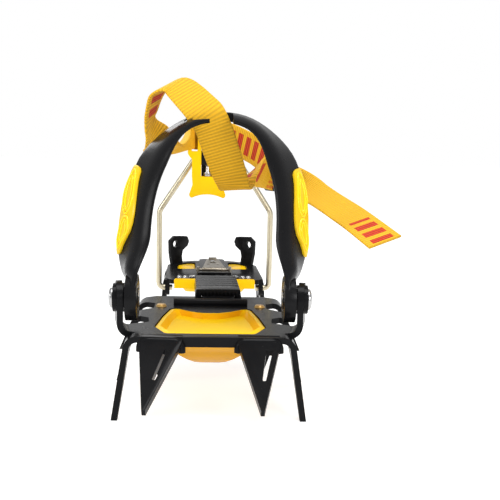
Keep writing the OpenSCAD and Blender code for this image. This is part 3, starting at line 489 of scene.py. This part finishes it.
# The strap's route: points in millimetres from the toe pivot and the platform, and width directions
STRAP_ROUTE = [
    ((42.5, 107, 81), (0.25, 0.1, 1)), ((36, 116, 86), (0.1, 0.1, 1)),
    ((26, 132, 93), (0, 0, 1)), ((13, 148, 99.5), (0, 0, 1)),
    ((6.6, 156, 101.2), (0, 0, 1)), ((5, 163.6, 101.5), (0, 0, 1)),
    ((-3.5, 166.3, 101.5), (0, 0, 1)), ((-12, 163.6, 101.5), (0, 0, 1)),
    ((-13.8, 156, 101.8), (0, 0, 1)), ((-18, 130, 99.8), (0.25, 0.1, 1)),
    ((-22, 102, 94.5), (0.75, 0.1, 0.6)), ((-27.5, 77, 92.7), (1, 0, 0.2)),
    ((-31.9, 56, 96.6), (0.75, 0.6, 0.2)), ((-35.3, 47, 104.9), (0.2, 0.95, 0.1)),
    ((-34.2, 43, 113), (0.2, 0.98, 0)), ((-30.9, 38.5, 121.9), (0.3, 0.95, 0.1)),
    ((-25.5, 34, 126.3), (0.36, 0.88, 0.3)), ((-19.7, 31, 126.2), (0.68, 0.6, 0.4)),
    ((-12.6, 27, 120.3), (0.88, 0.33, 0.32)), ((-4.4, 23.5, 111.6), (1, 0.1, 0.17)),
    ((0, 27, 104), (1, 0, 0.08)), ((4.3, 32, 92.5), (1, -0.05, 0.15)),
    ((8.2, 36.6, 82), (1, -0.2, 0.15)), ((11, 40.2, 74.6), (0.9, -0.4, 0.1)),
    ((12.8, 43.8, 70.9), (0.87, -0.49, 0.08)), ((14.6, 48.2, 71.9), (0.88, -0.45, 0.1)),
    ((17.6, 54, 76), (0.9, -0.2, 0.4)), ((27.3, 76, 79.5), (0.55, 0.1, 0.8)),
    ((46, 104, 75), (0.33, 0.1, 0.93)), ((61, 75, 68), (0.3, 0.8, 0.45)),
    ((78, 37, 57), (0.2, 0.9, 0.4)), ((91, 4, 46.5), (0.15, 0.9, 0.4)),
]
STRAP_POINTS = [from_toe(*point) for point, _ in STRAP_ROUTE]
STRAP_WIDTHS = [Vector(width) for _, width in STRAP_ROUTE]
STRAP_END = len(STRAP_ROUTE) - 1

# Stretches of the strap by place on its route, and the bodies at each end; only a stretch with one body is carried
# by it
STRAP_STRETCHES = [
    ("strap_end_run", 0.0, 0.94, "front_section", "heel_section"),
    ("strap_end_to_wire", 0.94, 2.34, "heel_section", "heel_wire"),
    ("strap_end_to_slider", 2.34, 2.81, "heel_wire", "lever_slider"),
    ("strap_end_to_lever", 2.81, 3.6, "lever_slider", "heel_lever"),
    ("strap_lever_loop", 3.6, 8.1, "heel_lever", None),
    ("strap_left_from_lever", 8.1, 8.51, "heel_lever", "lever_slider"),
    ("strap_left_from_slider", 8.51, 9.03, "lever_slider", "heel_wire"),
    ("strap_left_from_wire", 9.03, 10.6, "heel_wire", "heel_section"),
    ("strap_left_run", 10.6, 11.23, "heel_section", "front_section"),
    ("strap_rising_loop", 11.23, 15.6, "front_section", "toe_bail"),
    ("strap_crown_loop", 15.6, 20.0, "toe_bail", None),
    ("strap_front_run", 20.0, 22.6, "toe_bail", None),
    ("strap_fold", 22.6, 27.3, "toe_bail", "front_section"),
    ("strap_tail", 27.3, 31.0, "front_section", None),
]

# Lengths of the strap with woven bars: first and last place on the route, and the faces with bars
STRAP_BARS = [
    (0.2, 3.2, (1, -1)), (13.4, 16.2, (-1,)), (25.3, 27.2, (1, -1)), (30.2, 30.95, (1, -1)),
]

# Half section of the webbing: share of the half width and of the half thickness
STRAP_SECTION = [(1.0, 0.0), (0.985, 0.55), (0.95, 0.9), (0.90, 1.0), (0.5, 0.97), (0.0, 0.97)]

# Steps that measure the route between two of its points, reach of a tangent, and rings in a rib
ROUTE_STEPS, TANGENT_REACH, RINGS_IN_RIB = 400, 0.02, 4


def catmull(points, place):
    """A point of the smooth curve through points, at a place counted in points."""
    last = len(points) - 1
    i = min(int(place), last - 1)
    s = place - i
    a, b, c, d = (points[min(last, max(0, i + k))] for k in (-1, 0, 1, 2))
    square = 2 * a - 5 * b + 4 * c - d
    cube = 3 * b - a - 3 * c + d
    return 0.5 * (2 * b + (c - a) * s + square * s**2 + cube * s**3)


def strap_frame(place):
    """Centre, width direction and face normal of the strap at a place on its route."""
    before, after = max(0, place - TANGENT_REACH), min(STRAP_END, place + TANGENT_REACH)
    tangent = (catmull(STRAP_POINTS, after) - catmull(STRAP_POINTS, before)).normalized()
    width = catmull(STRAP_WIDTHS, place)
    width = (width - tangent * width.dot(tangent)).normalized()
    return catmull(STRAP_POINTS, place), width, tangent.cross(width)


def strap_stations():
    """Places at even steps on the route, each with the length so far."""
    places = [k / ROUTE_STEPS for k in range(STRAP_END * ROUTE_STEPS + 1)]
    points = [catmull(STRAP_POINTS, place) for place in places]
    stations, travelled = [(0.0, 0.0)], 0.0
    for place, before, after in zip(places[1:], points, points[1:]):
        travelled += (after - before).length
        stations.append((place, travelled))
    return stations


def place_at(stations, length, start):
    """The place on the route after a length, and its station, searched from a station."""
    i = start
    while i < len(stations) - 2 and stations[i + 1][1] < length:
        i += 1
    (p0, l0), (p1, l1) = stations[i], stations[i + 1]
    return p0 + (p1 - p0) * (length - l0) / (l1 - l0), i


def length_at(stations, place):
    """The length of the route up to a place."""
    i = min(int(place * ROUTE_STEPS), len(stations) - 2)
    (p0, l0), (p1, l1) = stations[i], stations[i + 1]
    return l0 + (l1 - l0) * (place - p0) / (p1 - p0)


def strap_profile():
    """The closed section of the webbing, flat with rounded selvedges."""
    top = STRAP_SECTION + [(-x, z) for x, z in reversed(STRAP_SECTION[:-1])]
    return top + [(x, -z) for x, z in reversed(top[1:-1])]


def bar_share(place, z):
    """1 on a face of the strap that shows woven bars."""
    face = math.copysign(1, z)
    return float(any(first <= place <= last and face in faces for first, last, faces in STRAP_BARS))


def build_stretch(name, first, last, stations):
    """One stretch of webbing with its cross ribs, its weave map and its bars."""
    s = sizes()
    profile = strap_profile()
    start, stop = length_at(stations, first), length_at(stations, last)
    count = max(2, round((stop - start) / (s.rib_pitch / RINGS_IN_RIB)))
    work = bmesh.new()
    weave = work.loops.layers.uv.new("weave")
    bars = work.verts.layers.float.new("bars")
    rings, centres, maps, station = [], [], {}, 0
    for k in range(count + 1):
        length = start + (stop - start) * k / count
        place, station = place_at(stations, length, station)
        place = min(max(place, first), last)
        centre, width, normal = strap_frame(place)
        groove = 0.5 - 0.5 * math.cos(FULL_TURN * length / s.rib_pitch)
        half = s.strap_thickness / 2 - s.rib_depth * groove
        ring = []
        for x, z in profile:
            across = x * s.strap_width / 2
            vert = work.verts.new(centre + width * across + normal * (z * half))
            vert[bars] = bar_share(place, z)
            maps[vert] = (length, across)
            ring.append(vert)
        rings.append(ring)
        centres.append(centre)
    for a, b in zip(rings, rings[1:]):
        for k in range(len(profile)):
            n = (k + 1) % len(profile)
            work.faces.new((a[k], a[n], b[n], b[k]))
    work.faces.new(list(reversed(rings[0])))
    work.faces.new(rings[-1])
    bmesh.ops.recalc_face_normals(work, faces=work.faces)
    for face in work.faces:
        face.smooth = True
        for loop in face.loops:
            loop[weave].uv = maps[loop.vert]
    mesh = mesh_from(work, bpy.data.meshes.new(name))
    return new_piece(name, mesh, "strap_weave"), centres, stop - start


class CRAMPON_OT_strap(bpy.types.Operator):
    """Weaves the ankle strap stretch by stretch; a stretch with one free end rides on the body at its other end"""

    bl_idname = "crampon.strap"
    bl_label = "Ankle Strap"

    def execute(self, context):
        stations = strap_stations()
        for name, first, last, near, far in STRAP_STRETCHES:
            piece, centres, length = build_stretch(name, first, last, stations)
            if name == "strap_fold":
                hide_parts("strap_webbing")
            if far:
                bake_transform(piece)
            else:
                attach(piece, near)
            if name == "strap_tail":
                centres[::3] + [centres[-1]]
        return {"FINISHED"}


# The toe bail's band, in millimetres, degrees and steps. The pairs are heights above the pivot
# between which the band flares, widens, thickens, thins again, turns and turns back.
BAIL = SimpleNamespace(
    leg_x=40.7, arm_x=41.2, pivot_h=16.0, spring_h=50.0, crown_h=110.0, lean=14.5, sway=2.5,
    sway_from=12.0, leg_w=23.0, band_w=26.0, band_t=4.6, leg_more=2.5, turn=36.0, turn_back=17.0,
    flares=(10.0, 34.0), widens=(6.0, 30.0), thickens=(9.0, 13.0), thins=(14.0, 36.0),
    turns=(4.0, 32.0), turns_back=(70.0, 94.0), leg_steps=12, arc_steps=20,
    arc_rise=0.95, arc_narrowing=0.85,
)

# An inlay: first and last step on the band, and its outline in millimetres and shares
INLAY = SimpleNamespace(
    first=8, last=19, back=1.4, proud=1.6, foot=2.4, belly=7.0, top=4.6, round=0.07, blunt=0.9,
)

# The ridges on an inlay: two lobes as shares of its length from the foot, and sizes in millimetres
RIDGES = SimpleNamespace(
    lobes=[(0.05, 0.50), (0.50, 0.97)], lobe_power=0.45, inset=1.3, spacing=2.1, least_half=0.3,
    steps=20, corners=8,
)


def ramp(value, low, high):
    return min(1.0, max(0.0, (value - low) / (high - low)))


def smooth(share):
    return share * share * (3 - 2 * share)


def bail_line(place):
    """Centre line of the bail's right half in its own plane, from the pivot (0) to the crown."""
    lean = math.cos(math.radians(BAIL.lean))
    leg = BAIL.spring_h - BAIL.pivot_h
    if place < BAIL.leg_steps:
        h = leg / lean * place / BAIL.leg_steps
        return Vector((BAIL.leg_x + (BAIL.arm_x - BAIL.leg_x) * smooth(ramp(h, *BAIL.flares)), h))
    a = math.radians(90 * (place - BAIL.leg_steps) / BAIL.arc_steps)
    rise = (BAIL.crown_h - BAIL.spring_h) * math.sin(a) ** BAIL.arc_rise
    x = BAIL.arm_x * max(0.0, math.cos(a)) ** BAIL.arc_narrowing
    return Vector((x, (leg + rise) / lean))


def band_half(h):
    """Half width of the band at a height above the pivot."""
    return (BAIL.leg_w + (BAIL.band_w - BAIL.leg_w) * smooth(ramp(h, *BAIL.widens))) / 2


def band_high(h):
    """Outer face of the band from its middle, at a height above the pivot."""
    more = smooth(ramp(h, *BAIL.thickens)) * (1 - smooth(ramp(h, *BAIL.thins)))
    return BAIL.band_t / 2 + BAIL.leg_more * more


def band_turn(h):
    """Turn of the band's face towards the toe, at a height above the pivot."""
    turned = BAIL.turn * smooth(ramp(h, *BAIL.turns))
    return math.radians(turned - BAIL.turn_back * smooth(ramp(h, *BAIL.turns_back)))


def band_point(place, across, out, side):
    """A point of the band: across to the rear, out from its middle, on side 1 (right) or -1."""
    crown = BAIL.leg_steps + BAIL.arc_steps
    p = bail_line(place)
    tangent = (bail_line(min(crown, place + 1)) - bail_line(max(0, place - 1))).normalized()
    normal = Vector((tangent.y, -tangent.x))
    turn = band_turn(p.y)
    flat = p + normal * (out * math.cos(turn) + across * math.sin(turn))
    deep = across * math.cos(turn) - out * math.sin(turn)
    lean = math.radians(BAIL.lean)
    x = side * flat.x + max(0.0, flat.y - BAIL.sway_from) * math.tan(math.radians(BAIL.sway))
    y = deep * math.cos(lean) + flat.y * math.sin(lean)
    z = flat.y * math.cos(lean) - deep * math.sin(lean)
    return Vector((x, y, z)) * MM + TOE_PIVOT


def inlay_half(share):
    """Half width of an inlay at a share of its length, rounded at both ends."""
    end = max(1 - ramp(share, 0, INLAY.round), ramp(share, 1 - INLAY.round, 1))
    rise = (INLAY.belly - INLAY.foot) * smooth(ramp(share, 0, 0.5))
    fall = (INLAY.belly - INLAY.top) * smooth(ramp(share, 0.5, 1))
    return math.sqrt(1 - INLAY.blunt * end**2) * (INLAY.foot + rise - fall)


def ridge_loop(inset, lobe, side):
    """A closed line on an inlay's face, inset from the edge of one of its lobes."""
    rear, front = [], []
    for k in range(1, RIDGES.steps):
        turn = (1 - math.cos(math.pi * k / RIDGES.steps)) / 2
        share = lobe[0] + (lobe[1] - lobe[0]) * turn
        wide = inlay_half(share) * math.sin(math.pi * turn) ** RIDGES.lobe_power - inset
        if wide < RIDGES.least_half:
            continue
        place = INLAY.first + share * (INLAY.last - INLAY.first)
        h = bail_line(place).y
        middle = band_half(h) - INLAY.back - inlay_half(share)
        out = band_high(h) + INLAY.proud
        rear.append(band_point(place, middle + wide, out, side))
        front.append(band_point(place, middle - wide, out, side))
    return rear + front[::-1]


class DetailTree(NodeTree):
    """A Geometry Nodes tree with a geometry and a radius as its named inputs."""

    def __init__(self, name, geometry, radius):
        super().__init__(bpy.data.node_groups.new(name, "GeometryNodeTree"))
        sockets = self.tree.interface
        sockets.new_socket(geometry, in_out="INPUT", socket_type="NodeSocketGeometry")
        size = sockets.new_socket(radius, in_out="INPUT", socket_type="NodeSocketFloat")
        sockets.new_socket("Geometry", in_out="OUTPUT", socket_type="NodeSocketGeometry")
        self.radius_identifier = size.identifier
        self.geometry = self.add("NodeGroupInput", output=geometry)
        self.radius = self.add("NodeGroupInput", output=radius)

    def smoothed(self, geometry):
        return self.add("GeometryNodeSetShadeSmooth", None, {"Geometry": geometry})

    def end(self, geometry, finish):
        """Ends the tree in real geometry with a finish."""
        real = self.add("GeometryNodeRealizeInstances", None, {"Geometry": geometry})
        sockets = {"Geometry": real, "Material": finish_named(finish)}
        painted = self.add("GeometryNodeSetMaterial", None, sockets)
        self.add("NodeGroupOutput", None, {"Geometry": painted})
        return self


def stitch_tree(name, finish):
    """A tree that puts a small rounded bar on every point, turned and sized by its attributes."""
    tree = DetailTree(name, "Points", "Bar Radius")
    sockets = {"Segments": 10, "Rings": 7, "Radius": tree.radius}
    bar = tree.smoothed(tree.add("GeometryNodeMeshUVSphere", None, sockets))
    turn, stretch = (
        tree.add(
            "GeometryNodeInputNamedAttribute", {"data_type": "FLOAT_VECTOR"}, {"Name": attribute},
            output="Attribute",
        )
        for attribute in ("turn", "stretch")
    )
    sockets = {"Points": tree.geometry, "Instance": bar, "Rotation": turn, "Scale": stretch}
    return tree.end(tree.add("GeometryNodeInstanceOnPoints", None, sockets), finish)


def ridge_tree(name, finish):
    """A tree that turns closed lines into round ridges."""
    tree = DetailTree(name, "Lines", "Ridge Radius")
    curve = tree.add("GeometryNodeMeshToCurve", None, {"Mesh": tree.geometry})
    sockets = {"Resolution": RIDGES.corners, "Radius": tree.radius}
    section = tree.add("GeometryNodeCurvePrimitiveCircle", None, sockets)
    sockets = {"Curve": curve, "Profile Curve": section}
    return tree.end(tree.smoothed(tree.add("GeometryNodeCurveToMesh", None, sockets)), finish)


def realised(name, mesh, tree, radius, finish):
    """The plain mesh that a tree makes from a mesh, as a new piece."""
    source = bpy.data.objects.new(name + "_source", mesh)
    bpy.context.scene.collection.objects.link(source)
    modifier = source.modifiers.new("tree", "NODES")
    modifier.node_group = tree.tree
    modifier[tree.radius_identifier] = radius
    graph = bpy.context.evaluated_depsgraph_get()
    made = bpy.data.meshes.new_from_object(source.evaluated_get(graph))
    source.modifiers.clear()
    bpy.data.objects.remove(source)
    made.name = name
    return new_piece(name, made, finish)


def stitched(name, finish, radius, stitches):
    """A plain mesh of stitches, each a centre, a long and an upward direction, and a stretch."""
    mesh = bpy.data.meshes.new(name + "_points")
    mesh.from_pydata([centre for centre, _, _, _ in stitches], [], [])
    turn = mesh.attributes.new("turn", "FLOAT_VECTOR", "POINT")
    stretch = mesh.attributes.new("stretch", "FLOAT_VECTOR", "POINT")
    for i, (_, along, up, scale) in enumerate(stitches):
        x = along.normalized()
        z = (up - x * up.dot(x)).normalized()
        turn.data[i].vector = Matrix((x, z.cross(x), z)).transposed().to_euler()
        stretch.data[i].vector = scale
    return realised(name, mesh, stitch_tree(name + "_tree", finish), radius, finish)


class CRAMPON_OT_inlay_ridges(bpy.types.Operator):
    """Raises ridges inside each other on the bail's two inlays"""

    bl_idname = "crampon.inlay_ridges"
    bl_label = "Inlay Ridges"

    def execute(self, context):
        for side, name in ((1, "inlay_ridges_right"), (-1, "inlay_ridges_left")):
            points, edges = [], []
            for lobe in RIDGES.lobes:
                for k in range(sizes().inlay_ridges):
                    loop = ridge_loop(RIDGES.inset + RIDGES.spacing * k, lobe, side)
                    first, count = len(points), len(loop)
                    points += loop
                    edges += [(first + i, first + (i + 1) % count) for i in range(count)]
            mesh = bpy.data.meshes.new(name + "_lines")
            mesh.from_pydata(points, edges, [])
            # The ridges take the paler yellow, a painted highlight
            tree = ridge_tree(name + "_tree", "ridge_yellow")
            piece = realised(name, mesh, tree, sizes().ridge_radius, "ridge_yellow")
            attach(piece, "toe_bail")
        return {"FINISHED"}


# The bar tack: place and span on the strap's route, stitches in a row, the half row that fills the
# width, and a stitch's radius and sinking in millimetres and its stretch
BAR_TACK = SimpleNamespace(
    place=27.5, span=0.22, stitches=6, half_row=3.1, radius=0.28, sink=0.05,
    stretch=(4.2, 1.0, 0.8),
)


class CRAMPON_OT_bar_tack(bpy.types.Operator):
    """Sews the strap's short end down beside the buckle with a bar tack"""

    bl_idname = "crampon.bar_tack"
    bl_label = "Bar Tack"

    def execute(self, context):
        stitches = []
        rows = sizes().stitch_rows
        middle = (BAR_TACK.stitches - 1) / 2
        rise = sizes().strap_thickness / 2 - BAR_TACK.sink * MM
        for row in range(rows):
            place = BAR_TACK.place + BAR_TACK.span * row / (rows - 1)
            centre, width, normal = strap_frame(place)
            for k in range(BAR_TACK.stitches):
                across = (k - middle) / BAR_TACK.half_row * sizes().strap_width / 2
                for face in (1, -1):
                    spot = centre + width * across + normal * (face * rise)
                    stitches.append((spot, width, normal * face, BAR_TACK.stretch))
        piece = stitched("bar_tack_stitches", "webbing_thread", BAR_TACK.radius * MM, stitches)
        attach(piece, "front_section")
        return {"FINISHED"}


# The carriage's tongue behind the lever, in millimetres from the wire's cross bar: across, back, up
TONGUE = SimpleNamespace(middle=(0.0, -2.2, -10.2), half=(4.3, 0.4, 5.2), round=0.25)


class CRAMPON_OT_carriage_tongue(bpy.types.Operator):
    """Hangs the carriage's tongue behind the lever's window"""

    bl_idname = "crampon.carriage_tongue"
    bl_label = "Carriage Tongue"

    def execute(self, context):
        turn = JOINTS["lever_turn"]
        axes = [Vector(turn["axis"]), Vector(JOINTS["heel_slide"]["axis"]), Vector((0, 0, 1))]
        work = bmesh.new()
        bmesh.ops.create_cube(work, size=2.0)
        for vert in work.verts:
            spot = [m + c * h for m, c, h in zip(TONGUE.middle, vert.co, TONGUE.half)]
            offset = sum((axis * v * MM for axis, v in zip(axes, spot)), Vector())
            vert.co = Vector(turn["pos_m"]) + offset
        round_edges(work, work.edges[:], TONGUE.round * MM)
        bmesh.ops.recalc_face_normals(work, faces=work.faces)
        mesh = mesh_from(work, bpy.data.meshes.new("carriage_tongue"))
        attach(new_piece("carriage_tongue", mesh, "moulded_black"), "lever_slider")
        return {"FINISHED"}


def dress(table):
    """Replaces CAD nodes by rounded copies: node, piece, finish and share of the edge rounding."""
    for node, name, finish, share in table:
        rounded_copy(node, name, finish, sizes().edge_round * share)


class CRAMPON_OT_pressed_steel(bpy.types.Operator):
    """Coats the pressed steel sections, the linking bar, its guide and the buckle"""

    bl_idname = "crampon.pressed_steel"
    bl_label = "Pressed Steel"

    def execute(self, context):
        dress([
            ("front_frame", "front_section_steel", "coated_steel", 1.2),
            ("heel_frame", "heel_section_steel", "coated_steel", 1.2),
            ("link_bar", "linking_bar_steel", "coated_steel", 1.0),
            ("bar_guide", "bar_bridge_steel", "coated_steel", 0.6),
            ("strap_buckle", "ladder_buckle", "coated_steel", 1.0),
        ])
        return {"FINISHED"}


class CRAMPON_OT_moulded_black(bpy.types.Operator):
    """Finishes the toe bail, the bar's shoe, the pivot spacers and the lever's carriage"""

    bl_idname = "crampon.moulded_black"
    bl_label = "Black Mouldings"

    def execute(self, context):
        dress([
            ("toe_bail", "toe_bail_arch", "moulded_black", 1.2),
            ("bar_shoe", "bar_hood", "moulded_black", 0.5),
            ("pivot_washers", "pivot_spacers", "moulded_black", 0.6),
            ("lever_slider", "lever_carriage", "moulded_black", 1.0),
        ])
        return {"FINISHED"}


class CRAMPON_OT_moulded_yellow(bpy.types.Operator):
    """Finishes the anti-balling plates, the bail's inlays and the heel lever"""

    bl_idname = "crampon.moulded_yellow"
    bl_label = "Yellow Mouldings"

    def execute(self, context):
        dress([
            # The front tray takes the yellow with painted shade
            ("front_antiball_plate", "front_tray", "tray_yellow", 0.0),
            ("heel_antiball_plate", "heel_tray", "moulded_yellow", 0.0),
            ("bail_insert_left", "bail_inlay_left", "inlay_yellow", 0.0),
            ("bail_insert_right", "bail_inlay_right", "inlay_yellow", 0.0),
            ("heel_lever", "heel_lever_plate", "moulded_yellow", 1.6),
        ])
        return {"FINISHED"}


class CRAMPON_OT_hardware(bpy.types.Operator):
    """Finishes bolts, nuts, rivets, latch, screw and the heel bail's wire"""

    bl_idname = "crampon.hardware"
    bl_label = "Hardware"

    def execute(self, context):
        dress([
            ("pivot_bolts", "pivot_bolt_heads", "zinc", 0.5),
            ("pivot_nuts", "pivot_low_nuts", "coated_steel", 0.5),
            ("front_plate_rivets", "tray_rivets", "brass", 0.4),
            ("bar_rivets", "bar_rivet_heads", "zinc", 0.4),
            ("heel_rivets", "heel_rivet_heads", "zinc", 0.0),
            ("guide_rivets", "bridge_rivets", "zinc", 0.4),
            ("latch_plate", "latch_leaf", "raw_steel", 0.7),
            ("latch_pin", "latch_peg", "zinc", 0.4),
            ("latch_hinge_pin", "latch_hinge", "raw_steel", 0.6),
            ("heel_wire", "heel_bail_wire", "spring_wire", 0.0),
            ("adjust_screw", "adjusting_screw", "zinc", 0.3),
        ])
        return {"FINISHED"}


# The studio: half side of the floor, and lamps by name, place, width and power, turned to a target
FLOOR_REACH = 6.0
LAMPS = [
    ("overhead", (0.05, -0.25, 1.2), 0.7, 9),
    ("key", (0.55, -1.1, 0.55), 0.5, 6),
    ("fill", (-1.0, -0.6, 0.5), 0.5, 4),
    ("rim", (-0.4, 1.1, 0.7), 0.7, 3),
]
LAMP_TARGET = Vector((0, 0, 0.08))
SENSOR_WIDTH, CLIP_START = 36, 0.01


def add_floor():
    """A square floor on the ground."""
    signs = ((-1, -1), (1, -1), (1, 1), (-1, 1))
    corners = [(x * FLOOR_REACH, y * FLOOR_REACH, 0) for x, y in signs]
    mesh = bpy.data.meshes.new("studio_floor")
    mesh.from_pydata(corners, [], [(0, 1, 2, 3)])
    new_piece("studio_floor", mesh, "studio_floor")


def studio_sky(light, backdrop):
    """A white surround that gives one light and is seen at another brightness."""
    world = bpy.data.worlds.new("studio_sky")
    world.use_nodes = True
    sky = NodeTree(world.node_tree)
    seen = sky.add("ShaderNodeLightPath", output="Is Camera Ray")
    strength = sky.add("ShaderNodeMix", None, {0: seen, 2: light, 3: backdrop})
    background = world.node_tree.nodes["Background"].inputs
    sky.feed(background["Strength"], strength)
    sky.feed(background["Color"], WHITE)
    return world


def add_lamp(scene, name, place, width, power):
    """A round soft light turned to the target."""
    data = bpy.data.lights.new(name, "AREA")
    data.shape, data.size, data.energy = "DISK", width, power
    lamp = bpy.data.objects.new(name, data)
    lamp.location = place
    lamp.rotation_euler = (LAMP_TARGET - Vector(place)).to_track_quat("-Z", "Y").to_euler()
    scene.collection.objects.link(lamp)


def add_camera(scene, studio):
    """A camera turned by yaw, pitch and roll from looking along +Y."""
    yaw, pitch, roll = studio.camera_yaw, studio.camera_pitch, studio.camera_roll
    level = math.cos(pitch)
    ahead = Vector((math.sin(yaw) * level, math.cos(yaw) * level, -math.sin(pitch)))
    flat = Vector((math.cos(yaw), -math.sin(yaw), 0))
    high = flat.cross(ahead)
    right = flat * math.cos(roll) + high * math.sin(roll)
    up = high * math.cos(roll) - flat * math.sin(roll)
    data = bpy.data.cameras.new("studio_camera")
    data.lens, data.sensor_width, data.clip_start = studio.lens, SENSOR_WIDTH, CLIP_START
    camera = bpy.data.objects.new("studio_camera", data)
    turned = Matrix((right, up, -ahead)).transposed().to_4x4()
    camera.matrix_world = Matrix.Translation(studio.camera_place) @ turned
    scene.collection.objects.link(camera)
    return camera


class CRAMPON_OT_studio(bpy.types.Operator):
    """Makes the pale floor, the soft lights and the camera at the photograph's angle"""

    bl_idname = "crampon.studio"
    bl_label = "Studio"

    def execute(self, context):
        scene = context.scene
        studio = scene.crampon_studio
        add_floor()
        scene.world = studio_sky(studio.sky, studio.backdrop)
        for lamp in LAMPS:
            add_lamp(scene, *lamp)
        scene.view_settings.view_transform = "Standard"
        scene.camera = add_camera(scene, studio)
        return {"FINISHED"}


OPERATORS = (
    CRAMPON_OT_studio,
    CRAMPON_OT_strap,
    CRAMPON_OT_pressed_steel,
    CRAMPON_OT_moulded_black,
    CRAMPON_OT_moulded_yellow,
    CRAMPON_OT_hardware,
    CRAMPON_OT_carriage_tongue,
    CRAMPON_OT_inlay_ridges,
    CRAMPON_OT_bar_tack,
)


class CRAMPON_PT_panel(bpy.types.Panel):
    """Lists the crampon's colours, sizes and dressing steps"""

    bl_idname = "CRAMPON_PT_panel"
    bl_label = "Crampon"
    bl_space_type = "VIEW_3D"
    bl_region_type = "UI"
    bl_category = "Crampon"

    def draw(self, context):
        for name, group in PROPERTY_GROUPS.items():
            box = self.layout.box()
            for value in group.__annotations__:
                box.prop(getattr(context.scene, name), value)
        for operator in OPERATORS:
            self.layout.operator(operator.bl_idname)


CLASSES = (*PROPERTY_GROUPS.values(), *OPERATORS, CRAMPON_PT_panel)


def register():
    for cls in CLASSES:
        bpy.utils.register_class(cls)
    for name, group in PROPERTY_GROUPS.items():
        setattr(bpy.types.Scene, name, PointerProperty(type=group))


def unregister():
    for name in PROPERTY_GROUPS:
        delattr(bpy.types.Scene, name)
    for cls in reversed(CLASSES):
        bpy.utils.unregister_class(cls)


def main():
    register()
    for operator in OPERATORS:
        group, name = operator.bl_idname.split(".")
        getattr(getattr(bpy.ops, group), name)()


if __name__ == "__main__":
    main()
